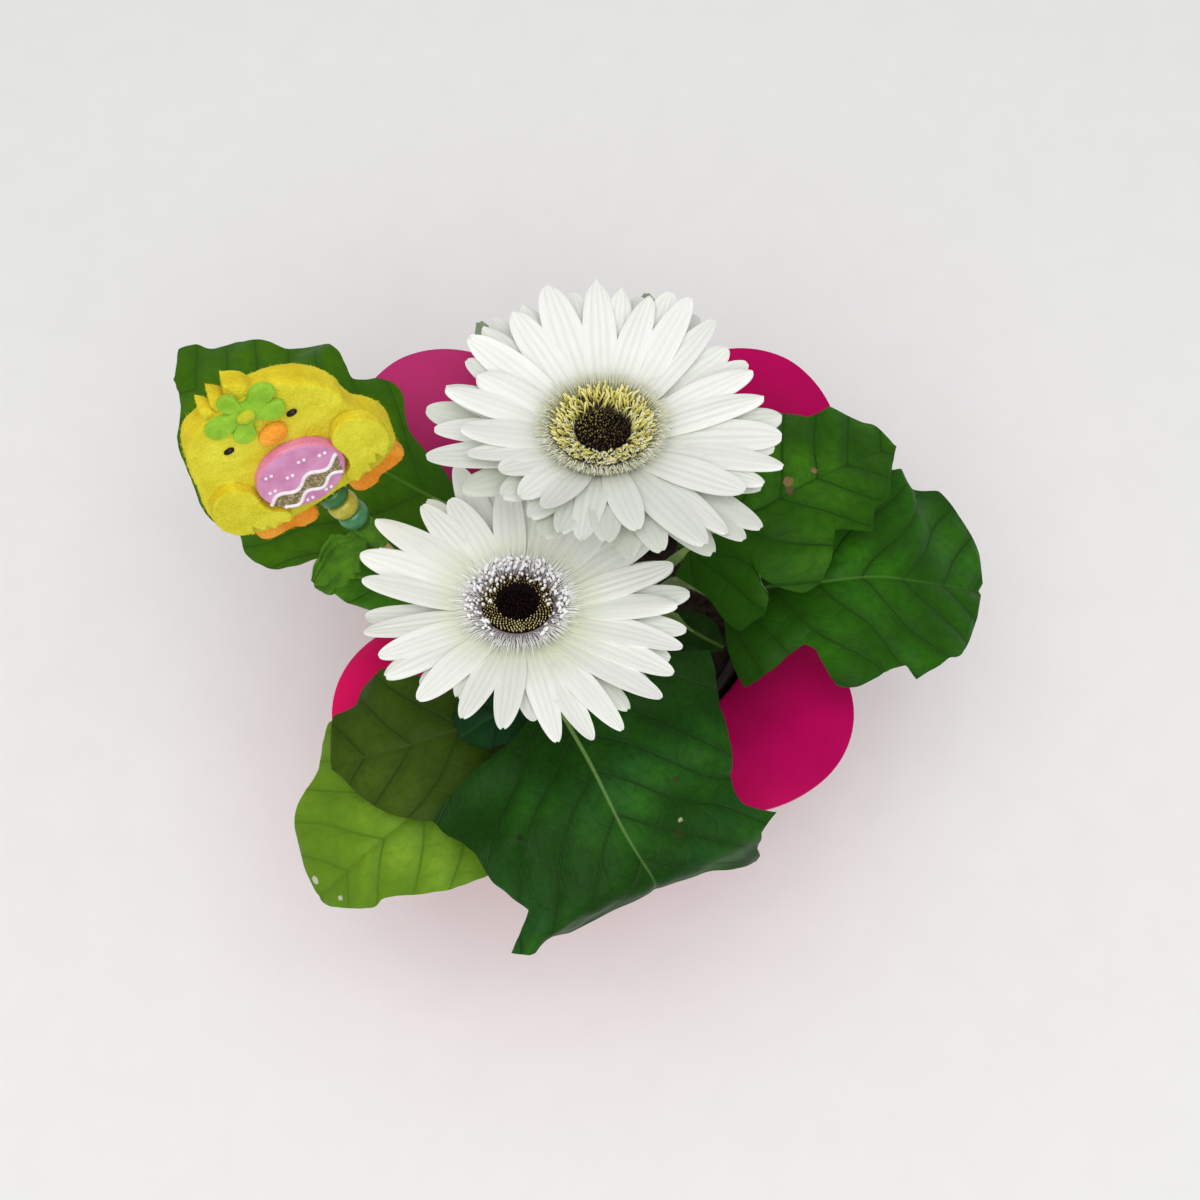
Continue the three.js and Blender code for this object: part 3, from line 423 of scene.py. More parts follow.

# ---- leaves -------------------------------------------------------------------------------
# Eleven leaves rise from the peat on downy stalks. A blade is leathery: glossy and quilted
# between its sunk veins above, pale with raised veins below, and lobed with small points at
# its edge. Each grew flat and bent under its own weight; the front one has folded its tip.
# Drawn flat, x runs along the midrib and y to its right; each row pairs a point of the right
# edge with one of the left. The stalk and the rib are places in the plant, from the base out.

# Tints are the deep, middle and bright green, the veins and a bluish painted sheen. A scar has
# its place on the flat leaf, its radius and its colour.
leaves = {
    "leaf_front": {
        "petiole": [[-9, -10, 82], [-15, -24, 112], [-17, -40, 137]],
        "rib": [[-13, -57, 150], [-1, -80, 153], [9, -100, 150], [18, -113, 143]],
        "fold": {"at": 63, "lean": 0.2, "corner": 30, "radius": 6, "turn": 70},
        "rows": [
            [0, 3, 0, -3], [6.5, 11, -3, -14], [10, 19, 0, -26], [12, 29, 5, -38], [14.5, 39, 9, -49],
            [18, 47.5, 14, -48], [28, 44, 22, -45], [37, 41, 31, -42], [45, 39.5, 43, -39],
            [49, 37, 57, -36], [54, 34.5, 63, -35], [57, 39.5, 70, -42], [60, 45, 73, -35],
            [65, 40, 104, -36], [82, 25.5, 88, -26], [76, 13, 78.5, -13.5], [75, 2.5, 73.5, -2.5],
        ],
        "tints": ["#0E2E04", "#1B4808", "#2C6614", "#7A9E56", "#225A30"],
        "scars": [[55.7, -16, 0.7, "#A8A888"], [58.7, -13.4, 0.9, "#3A3418"],
                  [41.9, -20.5, 0.7, "#3A3418"], [38.3, 27.7, 0.8, "#1A2808"]],
    },
    "leaf_left": {
        "petiole": [[-14, 4, 82], [-24, 8, 108]],
        "rib": [[-41, 12, 128], [-54, 15, 138], [-75, 23, 147], [-101, 36, 146], [-128, 54, 134]],
        "rows": [
            [0, 3, 0, -3], [10, 10, 8, -14], [20, 13.5, 16, -24], [29, 18, 25, -27], [36, 27, 34, -34],
            [46, 29, 41, -40.5], [55, 25.5, 47.5, -43], [65, 31.5, 56, -41.5], [80, 33, 60, -37.5],
            [88, 26.5, 68, -38], [96, 25.5, 78, -32], [106, 21.5, 88, -25], [112.5, 16, 96, -19],
            [119, 15, 100.5, -13], [123, 10.5, 107, -6], [116, 1.5, 113, -1.5],
        ],
        "tints": ["#2C560A", "#406E04", "#507E0C", "#54802A", "#3C7214"],
    },
    "leaf_right_upper": {
        "petiole": [[10, -7, 82], [13, -13, 112], [21, -12, 136]],
        "rib": [[30, -8, 146], [42, -2, 152], [52, 1, 155], [70, 12, 154], [94, 29, 142]],
        "rows": [
            [-9, 5, -4, -2], [-4, 16, 2, -12], [-3, 25, 8, -20], [-0.5, 30.5, 14, -26], [8, 31, 22, -28],
            [15, 26, 29, -24], [18, 18, 35, -26], [24.5, 29, 42, -31], [29.5, 28, 49, -30],
            [35, 23, 56, -25], [39.5, 17.5, 60.5, -20.5], [50.5, 22.5, 69, -21], [56, 17, 72, -17],
            [62, 16, 75.5, -12], [71, 8, 79, -8.5], [80, 1, 79.5, -1],
        ],
        "tints": ["#183E02", "#306208", "#427A10", "#1C3E08", "#346C1C"],
        "scars": [[36.2, -3.2, 1.5, "#8A6A48"], [35.2, -0.6, 1.1, "#6A4A34"],
                  [45.8, -2.6, 0.9, "#9A6A5C"]],
    },
    "leaf_right_lower": {
        "petiole": [[17, -3, 82], [24, -3, 106], [31, -9, 120]],
        "rib": [[40, -18, 128], [55, -16, 134], [72, -16, 138], [88, -14, 137], [105, -13, 130],
                [121, -10, 118]],
        "rows": [
            [0, 3, 0, -3], [-1, 17, 6, -10], [1.5, 29.5, 12, -18], [8, 28, 20, -22], [16, 25, 28, -20],
            [26, 20, 35, -20], [29.5, 22.5, 42, -26], [33.5, 34, 50, -34], [38, 35, 57, -40],
            [48, 30.5, 63, -40.5], [58, 28, 76, -41.5], [61, 32.5, 83, -39], [70.5, 25, 90, -38],
            [76, 23, 93, -27], [85, 12, 96, -15], [91, 1.5, 93.5, -3],
        ],
        "tints": ["#1A3A06", "#285F08", "#34740E", "#5C8438", "#2C6422"],
    },
    "leaf_lower_left": {
        "petiole": [[-4, -20, 82], [-12, -42, 106]],
        "rib": [[-28, -65, 124], [-40, -75, 127], [-53, -87, 126], [-67, -97, 121],
                [-79, -105, 112], [-84, -108, 107]],
        "rows": [
            [0, 3, 0, -3], [6, 12, 6, -11], [14, 22, 13, -18], [23, 32, 20, -24], [32, 39, 27, -29],
            [39, 41, 34, -27], [46.5, 38, 42, -23], [52, 33, 50, -18], [60, 29, 57, -14],
            [66.5, 25, 61, -14], [71, 19, 68, -9], [74.5, 11.5, 73.5, -4], [75, 3, 75, -1],
        ],
        "tints": ["#52781A", "#698E1E", "#80A62C", "#4E7618", "#6A942E"],
        "scars": [[72.3, 4.3, 1.1, "#C8CCB4"], [68, -5.3, 0.7, "#C8C4B0"]],
        "slot": "leaf_pale",
    },
    # The olive leaf lies under the lower bloom: its deep olive tints are partly painted shade.
    "leaf_olive": {
        "petiole": [[-15, -9, 82], [-18, -30, 108]],
        "rib": [[-26, -58, 132], [-43, -65, 137], [-59, -70, 136], [-77, -72, 128]],
        "rows": [
            [0, 3, 0, -3], [5, 8, 4, -12], [13, 13, 8, -19], [20, 20, 14, -25], [32, 26, 22, -27],
            [40, 25.5, 30, -25], [47, 23, 38, -21], [49.5, 18, 45, -15], [56.5, 16, 51, -9],
            [57.5, 9.5, 55, -4], [58, 1, 58, -1],
        ],
        "tints": ["#293E0A", "#3A530E", "#485F14", "#42541A", "#38541A"],
        "slot": "leaf_olive",
    },
    "leaf_small_front": {
        "petiole": [[3, -16, 82], [4, -38, 116], [-7, -50, 136]],
        "rib": [[-16, -54, 142], [-23, -60, 145], [-31, -64, 145], [-39, -68, 141]],
        "rows": [
            [0, 2, 0, -2], [4, 6, 4, -7], [8, 8, 9, -10], [13, 10, 14, -11], [19, 11, 18, -9],
            [24, 10, 23, -8], [28, 7, 27, -4], [29, 1, 29, -1],
        ],
        "tints": ["#0A2A12", "#123C16", "#1C4E20", "#1E4A22", "#18482C"],
    },
    "leaf_young_left": {
        "petiole": [[-16, -5, 82], [-25, -3, 104]],
        "rib": [[-39, -6, 120], [-51, -12, 128], [-65, -13, 131], [-82, -8, 127]],
        "rows": [
            [0, 2, 0, -2], [6, 6, 6, -5], [14, 9, 14, -9], [22, 10, 22, -9], [30, 10, 30, -10],
            [38, 8, 39, -9], [45, 4, 46, -6], [50, 1, 50, -1],
        ],
        "tints": ["#2A5A08", "#3C720E", "#55901A", "#84A850", "#44802A"],
    },
    "leaf_small_right": {
        "petiole": [[15, -14, 82], [19, -14, 96]],
        "rib": [[24, -12, 104], [32, -20, 108], [43, -26, 107]],
        "rows": [
            [0, 1.5, 0, -1.5], [5, 5, 5, -5], [11, 7, 11, -7], [17, 6, 17, -6], [21, 3, 21, -3],
            [23, 1, 23, -1],
        ],
        "tints": ["#14300A", "#22460E", "#305A16", "#607C38", "#2C5426"],
    },
    "leaf_back_left": {
        "petiole": [[-6, 12, 82], [-10, 18, 106]],
        "rib": [[-15, 25, 125], [-25, 53, 128], [-39, 90, 118]],
        "rows": [
            [0, 2, 0, -2], [9, 9, 9, -8], [18, 13, 18, -10], [27, 11, 27, -8], [38, 15, 38, -8],
            [47, 12, 47, -7], [58, 6, 58, -5], [69, 1, 69, -1],
        ],
        "tints": ["#7C9070", "#9AAA8C", "#B4C0A8", "#A0B08C", "#A6B49C"],
    },
    "leaf_back_right": {
        "petiole": [[8, 12, 82], [12, 20, 104]],
        "rib": [[15, 30, 122], [18, 58, 126], [18, 101, 116]],
        "rows": [
            [0, 2, 0, -2], [9, 9, 9, -9], [19, 14, 19, -14], [29, 12, 29, -12], [40, 15, 40, -15],
            [52, 11, 52, -11], [62, 6, 62, -6], [73, 1, 73, -1],
        ],
        "tints": ["#7C9070", "#9AAA8C", "#B4C0A8", "#A0B08C", "#A6B49C"],
    },
}
leaf_sag, wave_height, wave_pitch, wave_reach = 0.003, 1.5, 30, 25
stem_depth, petiole_radius = 9, 1.6
vein_pitch, vein_slant, vein_bow, vein_wander = 15, 0.8, 0.007, 2.2
fan_step = math.radians(34)
edge_steps, edge_ripple, rib_groove = 9, 0.35, 1.3
# Between two veins the skin is puffed up to an eleventh of their distance. It has lumps all
# over, and is thicker along the midrib and the veins.
quilt_share, lump_height, lump_size = 11, 0.45, 6.5
blade_thickness, rib_thickness, vein_thickness = 0.5, 1.3, 0.25
net_size, hair_size = 2.22, 0.625


def smooth_curve(points, samples=500):
    """A curve through the points (uniform Catmull-Rom: in each span a cubic whose end slopes
    are half the way between its neighbours), sampled finely, with its length up to there."""
    p = np.asarray(points, float)
    p = np.vstack([2 * p[0] - p[1], p, 2 * p[-1] - p[-2]])
    t = np.linspace(0, len(p) - 3, samples)
    i = np.minimum(t.astype(int), len(p) - 4)
    f = (t - i)[:, None]
    a, b, c, d = p[i], p[i + 1], p[i + 2], p[i + 3]
    place = 0.5 * (2 * b + (c - a) * f + (2 * a - 5 * b + 4 * c - d) * f ** 2
                   + (3 * b - a - 3 * c + d) * f ** 3)
    steps = np.linalg.norm(np.diff(place, axis=0), axis=1)
    return place, np.concatenate([[0], np.cumsum(steps)])


def read_curve(curve, length):
    """Places and unit tangents on a sampled curve at the given lengths."""
    place, upto = curve
    slope = np.gradient(place, upto, axis=0)
    at = [np.stack([np.interp(length, upto, row[:, k]) for k in range(3)], axis=-1)
          for row in (place, slope)]
    return at[0], at[1] / np.linalg.norm(at[1], axis=-1, keepdims=True)


def roll_beyond(fold, x, y):
    """Beyond its fold line the blade rolls down round a small radius, then hangs straight."""
    line = fold["at"] - fold["lean"] * y + 0.05 * np.maximum(0, y - fold["corner"]) ** 2
    beyond = np.maximum(0, x - line)
    turned = np.minimum(beyond / fold["radius"], math.radians(fold["turn"]))
    rest = beyond - fold["radius"] * turned
    drop = fold["radius"] * (1 - np.cos(turned)) + rest * np.sin(turned)
    return x - beyond + fold["radius"] * np.sin(turned) + rest * np.cos(turned), drop


def bend_leaf(leaf, x, y):
    """Takes flat points of the leaf to their places: along the midrib's curve, out to the side
    level with it, down by the square of the distance, and up and down in a wave near the edge."""
    curve = smooth_curve(leaf["rib"])
    along, drop = roll_beyond(leaf["fold"], x, y) if "fold" in leaf else (x, 0)
    on_rib = np.clip(along, 0, curve[1][-1])
    place, tangent = read_curve(curve, on_rib)
    side = np.cross(tangent, [0, 0, 1.0])
    side /= np.linalg.norm(side, axis=-1, keepdims=True)
    up = np.cross(side, tangent)
    reach = np.minimum(np.abs(y) / wave_reach, 1.3) ** 2
    wave = wave_height * reach * np.sin(2 * np.pi * x / wave_pitch)
    lift = wave - leaf_sag * y * y - drop
    ahead, y, lift = (part[..., None] for part in (along - on_rib, y, lift))
    return place + tangent * ahead + side * y + up * lift


def leaf_normal(leaf, x, y):
    """The upward normal at a flat point, from its neighbours half a millimetre away."""
    along = bend_leaf(leaf, x + 0.5, y) - bend_leaf(leaf, x - 0.5, y)
    across = bend_leaf(leaf, x, y + 0.5) - bend_leaf(leaf, x, y - 0.5)
    normal = np.cross(across, along)
    return normal / np.linalg.norm(normal, axis=-1, keepdims=True)


def soft_line(points, steps, closed=False):
    """A line through the points that is round where it bends gently and pointed where it turns
    sharply: each span is a cubic whose end slopes shrink as the turn at that point grows."""
    p = np.asarray(points, float)
    before, after = p - np.roll(p, 1, axis=0), np.roll(p, -1, axis=0) - p
    if not closed:
        before[0], after[-1] = after[0], before[-1]
    sizes = [np.linalg.norm(side, axis=1) for side in (before, after)]
    cosine = np.clip(np.sum(before * after, axis=1) / (sizes[0] * sizes[1]), -1, 1)
    keep = np.clip(1.25 - np.arccos(cosine) / math.radians(80), 0, 1)
    slope = (before + after) / 2
    longest = 1.3 * np.minimum(*sizes) / np.maximum(np.linalg.norm(slope, axis=1), 1e-6)
    slope *= (keep * np.minimum(1, longest))[:, None]
    spans = len(p) if closed else len(p) - 1
    t = np.linspace(0, spans, spans * steps + 1)[: -1 if closed else None]
    i = np.minimum(t.astype(int), spans - 1)
    j, f = (i + 1) % len(p), (t - i)[:, None]
    return ((2 * f ** 3 - 3 * f ** 2 + 1) * p[i] + (f ** 3 - 2 * f ** 2 + f) * slope[i]
            + (3 * f ** 2 - 2 * f ** 3) * p[j] + (f ** 3 - f ** 2) * slope[j])


def slabs(front, back, front_skin=0, back_skin=0, **values):
    """Closed sheets with a front and a back grid of points. Their four sides are filled and
    take the front's skin. Any number of equal sheets may lie in the leading axis, and each
    value gives three numbers for each point of the grid."""
    front, back = (g.reshape(-1, *g.shape[-3:]) for g in (front, back))
    count, rows, columns = front.shape[:3]
    size = rows * columns
    face = grid_faces(rows, columns)
    number = np.arange(size).reshape(rows, columns)
    loop = np.concatenate([number[0, :], number[1:, -1], number[-1, -2::-1], number[-2:0:-1, 0]])
    after = np.roll(loop, -1)
    sides = np.stack([loop, after, after + size, loop + size], axis=-1)
    faces = np.concatenate([face, face[:, ::-1] + size, sides])
    skins = np.repeat([front_skin, back_skin, front_skin], [len(face), len(face), len(sides)])
    faces = (faces[None] + 2 * size * np.arange(count)[:, None, None]).reshape(-1, 4)
    points = np.stack([front.reshape(count, -1, 3), back.reshape(count, -1, 3)], axis=1)
    doubled = {key: np.repeat(value.reshape(count, 1, size, 3), 2, axis=1).reshape(-1, 3)
               for key, value in values.items()}
    return shell(points, faces, np.tile(skins, count), **doubled)


def vein_field(x, y):
    """Side veins leave the midrib at equal steps and bow forwards; behind the first of them
    they fan out from the blade's base. Phase is a whole number on each vein, and spacing is
    the distance between two of them."""
    out = np.abs(y)
    bowed = x - vein_bow * out ** 2
    start = bowed - vein_slant * out
    fan = np.arctan2(out, bowed) - math.atan2(1, vein_slant)
    phase = np.where(start > 0, start / vein_pitch, -fan / fan_step)
    level = vein_pitch / math.hypot(1, vein_slant)
    spacing = np.where(start > 0, level, np.minimum(np.hypot(x, y) * fan_step, 1.3 * level))
    return phase, spacing


def downy(curve, radius, count, length, dice):
    """Short hairs that stand out from a stalk all round, a little towards its tip."""
    place, tangent = read_curve(curve, curve[1][-1] * (0.3 + 0.62 * dice.random(count)))
    out = np.cross(tangent, dice.normal(size=(count, 3)))
    out /= np.linalg.norm(out, axis=1, keepdims=True)
    root = place + out * radius * 0.9
    tip = root + (out + 0.35 * tangent) * (length * (0.6 + 0.6 * dice.random(count)))[:, None]
    return np.stack([root, tip], axis=1)


def leaf_blade(leaf, columns, seed):
    """The blade as one closed sheet. Both edges are soft lines with a fine ripple, and the grid
    runs from edge to edge through the midrib. The skin is puffed up between the veins as a
    sine and sunk along the midrib as a bell curve, and both die out at the edge."""
    rows = np.array(leaf["rows"], float)
    right, left = soft_line(rows[:, :2], edge_steps), soft_line(rows[:, 2:], edge_steps)
    v = np.linspace(-1, 1, columns)
    out = np.abs(v)
    edge = np.where(v[None, :, None] < 0, left[:, None], right[:, None])
    x = np.linspace(0, rows[-1, 0], len(right))[:, None] * (1 - out) + edge[..., 0] * out
    y = edge[..., 1] * out
    flat = np.stack([x, y, np.full_like(x, 10.0 * seed)], axis=-1)
    y = y + np.sign(v) * edge_ripple * out ** 12 * noise(flat, 2.8, seed + 5)
    phase, spacing = vein_field(x + vein_wander * noise(flat, 19, seed), y)
    inland = np.clip((1 - out) * 5, 0, 1) * np.clip(np.abs(y) / 4, 0, 1)
    quilt = np.abs(np.sin(np.pi * phase)) * inland * spacing / quilt_share
    quilt *= 0.7 + 0.5 * noise(flat, 24, seed + 9)
    groove = np.exp(-(y / rib_groove) ** 2)
    lumps = lump_height * noise(flat, lump_size, seed + 1) * inland
    relief = quilt - 0.5 * groove + lumps - 0.1
    on_vein = (1 - 2 * np.abs(phase - np.round(phase))) ** 6
    thick = blade_thickness + rib_thickness * groove + vein_thickness * on_vein * inland
    normal = leaf_normal(leaf, x, y)
    front = bend_leaf(leaf, x, y) + normal * relief[..., None]
    return slabs(front, front - normal * thick[..., None], 0, 1,
                 flat=np.stack([x, y, np.zeros_like(x)], axis=-1),
                 veins=np.stack([phase, spacing, np.abs(y)], axis=-1))


def leaf_stalk(leaf, seed):
    """The stalk starts upright in the peat, runs out under the midrib and thins to its end. It
    is a rod along a soft curve, with hairs."""
    deep = [*leaf["petiole"][0][:2], peat_top - stem_depth]
    x, y = np.array([1.0, 7.0, 12.0]), np.zeros(3)
    under = bend_leaf(leaf, x, y) - leaf_normal(leaf, x, y)
    curve = smooth_curve([deep, *leaf["petiole"], *under])
    share = np.linspace(0, 1, 36)
    radius = petiole_radius * np.interp(share, [0, 0.3, 0.5, 0.77, 0.88, 1],
                                        [1.2, 1.05, 1, 1, 0.85, 0.4])
    place, _ = read_curve(curve, share * curve[1][-1])
    hairs = downy(curve, petiole_radius, 260, 0.8, np.random.default_rng(seed))
    return [rods(place[None], radius, sides=14, skins=2),
            rods(hairs, [0.09, 0.03], sides=3, skins=2)]


def leaf_skins(name, tints, scars):
    """A leaf's upper and lower skin. Above: green in soft clouds with a bluish painted sheen in
    places, mottled, with painted shade at its base and in the creases along the side veins, a thin
    pale midrib, a faint net of small veins 2.2 mm apart, its own few scars and a satin gloss. Below:
    the same green let down with grey, matt, for its felt of fine hairs."""
    deep, middle, bright, vein, painted_sheen_tint = tints
    material, tree, skin = finish(f"{name}_upper_skin", IOR=1.42, Specular_IOR_Level=0.11)
    flat = node(tree, "Attribute", attribute_name="flat").outputs["Vector"]
    veins = node(tree, "Attribute", attribute_name="veins").outputs["Vector"]
    phase, spacing, out = node(tree, "SeparateXYZ", {0: veins}).outputs
    down_rib = node(tree, "SeparateXYZ", {0: flat}).outputs["X"]
    # Clouds, patches of painted sheen, mottle and the ragged edge of scars: size, detail and roughness.
    clouds, patches, mottle, ragged = (
        node(tree, "TexNoise", {"Vector": flat, "Scale": 1 / size, "Detail": detail,
                                "Roughness": rough})
        for size, detail, rough in ((28.6, 1.5, 0.5), (25, 3, 0.5), (3.125, 6, 0.6), (0.833, 2, 0.5))
    )
    net = node(tree, "TexVoronoi", {"Vector": flat, "Scale": 1 / net_size},
               feature="DISTANCE_TO_EDGE")
    # Millimetres from the nearest side vein and from the midrib, and the place of the small
    # veins, which branch off at equal steps and slant forwards.
    from_vein = node(tree, "Math", {0: phase, 1: 0.5}, operation="PINGPONG")
    off = node(tree, "Math", {0: from_vein, 1: spacing}, operation="MULTIPLY")
    off_rib = node(tree, "Math", {0: down_rib, 1: 0.005, 2: out}, operation="MULTIPLY_ADD")
    slanted = node(tree, "Math", {0: off, 1: -0.09, 2: 0.5}, operation="MULTIPLY_ADD")
    branch = node(tree, "Math", {0: out, 1: 0.16, 2: slanted}, operation="MULTIPLY_ADD")
    branch = node(tree, "Math", {0: branch, 1: 0.5}, operation="PINGPONG")
    # Each share: what it reads, where it starts and ends, and how much it is at either place.
    # The base share paints shade near the blade's base, in the middle of the plant under the blooms.
    share = {key: node(tree, "MapRange", dict(enumerate(span))) for key, span in {
        "painted_sheen_share": (patches, 0.5, 0.7, 0.0, 0.3), "base": (down_rib, 4.0, 34.0, 0.65, 0.0),
        "mottle": (mottle, 0.42, 0.68, 0.0, 0.42), "strength": (clouds, 0.35, 0.65, 0.6, 1.0),
        "crease": (off, 0.12, 0.6, 0.95, 0.0), "slope": (off, 0.3, 3.6, 0.45, 0.0),
        "thread": (off, 0.06, 0.28, 0.05, 0.0), "small_vein": (branch, 0.02, 0.08, 0.05, 0.0),
        "net": (net, 0.02, 0.16, 0.015, 0.0), "midrib": (off_rib, 0.4, 0.85, 1.0, 0.0),
        "fading": (down_rib, 20.0, 75.0, 0.75, 0.15), "gloss": (clouds, 0.3, 0.7, 0.42, 0.56),
        "sunk_vein": (off, 0.12, 0.55, -1.0, 0.0), "sunk_net": (net, 0.02, 0.16, -0.08, 0.0),
        "sunk_branch": (branch, 0.02, 0.08, -0.35, 0.0),
    }.items()}
    # The crease and slope shares paint shade in the creases along the side veins and on their flanks.
    for key, first, second, operation in (
            ("crease", "crease", "slope", "MAXIMUM"), ("crease", "crease", "strength", "MULTIPLY"),
            ("midrib", "midrib", "fading", "MULTIPLY"),
            ("sunk", "sunk_vein", "sunk_branch", "MINIMUM"), ("sunk", "sunk", "sunk_net", "ADD")):
        share[key] = node(tree, "Math", {0: share[first], 1: share[second]}, operation=operation)
    body = node(tree, "ValToRGB", {"Fac": clouds}, [(0.2, deep), (0.5, middle), (0.75, bright)])
    # Mixed into the green in turn: a bluish painted sheen in patches, painted shade at the base, mottle,
    # painted shade in the creases, then the veins, the net and the midrib.
    for key, tint in (("painted_sheen_share", painted_sheen_tint), ("base", deep), ("mottle", deep), ("crease", deep),
                      ("thread", vein), ("small_vein", deep), ("net", vein), ("midrib", vein)):
        body = node(tree, "MixRGB", {0: share[key], 1: body, 2: tint})
    for x, y, radius, dry in scars:
        reach = node(tree, "VectorMath", {0: flat, 1: (x, y, 0)}, operation="DISTANCE")
        reach = node(tree, "Math", {0: ragged, 1: 1.6, 2: reach.outputs["Value"]},
                     operation="MULTIPLY_ADD")
        scar = node(tree, "MapRange", {0: reach, 1: radius + 0.7, 2: radius + 1, 3: 0.85, 4: 0})
        body = node(tree, "MixRGB", {0: scar, 1: body, 2: dry})
    relief = node(tree, "Bump", {"Height": share["sunk"], "Strength": 0.5, "Distance": 0.0005})
    connect(tree, skin, {"Base Color": body, "Roughness": share["gloss"], "Normal": relief})

    below, tree, skin = finish(f"{name}_lower_skin", Roughness=0.85, IOR=1.4)
    flat = node(tree, "Attribute", attribute_name="flat").outputs["Vector"]
    net = node(tree, "TexVoronoi", {"Vector": flat, "Scale": 1 / net_size},
               feature="DISTANCE_TO_EDGE")
    hairs = node(tree, "TexNoise", {"Vector": flat, "Scale": 1 / hair_size, "Detail": 4.0})
    pale = node(tree, "MixRGB", {0: 0.45, 1: middle, 2: "#A8B890"})
    paler = node(tree, "MixRGB", {0: 0.6, 1: middle, 2: "#C2CCAC"})
    body = node(tree, "MixRGB", {0: hairs, 1: pale, 2: paler})
    relief = node(tree, "Bump", {"Height": net, "Strength": 0.5, "Distance": 0.0004})
    connect(tree, skin, {"Base Color": body, "Normal": relief})
    return material, below


# A gerbera's stalk is pale green under a down of short white hairs, so it looks matt and a
# little silvery at its edges.
downy_stalk = mottled("downy_stalk", (6.25, 4),
                      [(0.3, "#54742C"), (0.55, "#6F8A3C"), (0.8, "#8DA356")],
                      raised=(0.3, 0.0004), Roughness=0.75, Sheen_Weight=0.35)

large_leaf_columns, small_leaf_columns, small_leaf_rows = 61, 37, 9
for seed, (name, leaf) in enumerate(leaves.items()):
    large = len(leaf["rows"]) > small_leaf_rows
    blade = leaf_blade(leaf, large_leaf_columns if large else small_leaf_columns, seed)
    skins = leaf_skins(name, leaf["tints"], leaf.get("scars", []))
    piece = make_piece(f"{name}_blade", [blade, *leaf_stalk(leaf, 40 + seed)],
                       [*skins, downy_stalk])
    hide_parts(name)

# ---- flower stalks ------------------------------------------------------------------------
# Each bloom stands on its own bare stalk, round and downy. At the top the stalk widens into a
# green bell, and three rows of narrow pointed bracts lie on it like tiles, under the petals.

blooms = {
    "upper": {
        "centre": [3, -16, 231], "lean_back": 12,
        "stalk": [[6, 3, 82], [6, -2, 120], [4, -12, 170]],
        # Petals, front layer first. Each has its direction in degrees, reach and width.
        # A layer's grey is painted shade, deeper on the back layers that lie under the front ones.
        "layers": [
            {"start": -1, "climb": 13, "droop": 3.5, "grey": 0.15, "petals": [
                [353, 47.5, 10.5], [7, 43, 10], [21, 43.5, 9.5], [49, 46.5, 9.5], [60, 48, 9.5],
                [75, 46, 9], [91, 50, 9.5], [108, 50, 11.5], [123, 46, 9.5], [142, 46, 10], [157, 37, 9.5],
                [169, 43, 9], [188, 38, 9.5], [203, 38, 8.5], [214, 33, 8.5], [230, 34, 8.5], [246, 35, 9],
                [263, 40, 8.5], [281, 38, 8.5], [299, 51, 10], [309, 49.5, 9], [322, 45, 9], [331, 47, 9],
                [340, 50, 9.5],
            ]},
            {"start": -3.1, "climb": 11.5, "droop": 3.5, "grey": 0.4, "petals": [
                [0, 47.5, 10], [30, 45, 10], [40, 44, 10], [68, 50, 10.5], [83, 48, 9], [99, 50, 8.5],
                [116, 49, 10], [133, 48, 9], [150, 43, 10], [163, 44, 10], [180, 45, 10], [195, 48, 10.5],
                [222, 36, 9], [238, 36, 9], [254, 39, 9], [272, 41, 9], [291, 44, 9], [314, 52.5, 10],
                [321, 53, 10], [346, 46, 10],
            ]},
            {"start": -5.1, "climb": 9.5, "droop": 3.5, "grey": 0.8, "petals": [
                [14, 43, 10], [36, 47, 11], [57, 50, 11], [78, 52, 11], [104, 53, 11], [128, 52, 11],
                [138, 48, 10], [171, 48.5, 11], [208, 42, 10], [245, 38, 10], [282, 42, 10], [305, 48, 10],
                [335, 46, 10],
            ]},
        ],
        "tip": {"shape": 2.1, "bluntness": 0.006},
        "rings": {"eye": 7.2, "florets": 12.8, "fringe": 15.6},
        # The shade is painted shade on the bloom's lower side, whose petals face away from the light.
        "root_tint": "#CDD1B8", "cream": "#E8EADF", "shade": 0.3,
    },
    "lower": {
        "centre": [-20, -56, 208], "lean_back": 12,
        "stalk": [[-2, -4, 82], [-6, -16, 120], [-14, -38, 160]],
        # A layer's grey is painted shade, deeper on the back layers that lie under the front ones.
        "layers": [
            {"start": -1, "climb": 9, "droop": 3, "grey": 0.05, "petals": [
                [11, 43, 8.5], [32, 43, 12], [47, 40, 9], [62, 40, 8.5], [79, 42, 9.5], [97, 40, 9],
                [118, 40, 9], [131, 43, 9], [144, 48, 10], [161, 46, 10], [175, 42, 8], [196, 42, 8.5],
                [207, 41, 7.5], [217, 42, 8], [234, 41, 8.5], [252, 41, 8], [268, 42.6, 8], [283, 46, 7.8],
                [293, 48.5, 7.5], [303, 50, 7.8], [318, 50, 9], [331, 48, 8.5], [342, 46.5, 9],
                [357, 43, 8.5],
            ]},
            {"start": -3.4, "climb": 7, "droop": 3, "grey": 0.45, "petals": [
                [2, 46.5, 9], [19, 44, 9], [40, 41, 9], [54, 40, 9], [72, 42, 9], [88, 45, 10],
                [101, 50, 10], [110, 52, 10], [126, 46, 10], [153, 44, 9], [187, 41, 9], [202, 38, 8],
                [226, 36, 8], [244, 34, 8], [276, 38, 8], [311, 44, 8], [325, 44, 8], [337, 44, 8.5],
                [350, 46, 9],
            ]},
        ],
        "tip": {"shape": 2.0, "bluntness": 0.004},
        "rings": {"eye": 5.6, "florets": 9.8, "fringe": 14},
        # The shade is painted shade on the bloom's lower side, whose petals face away from the light.
        "root_tint": "#CCD6A8", "cream": "#E3E8CC", "shade": 0.08,
    },
}
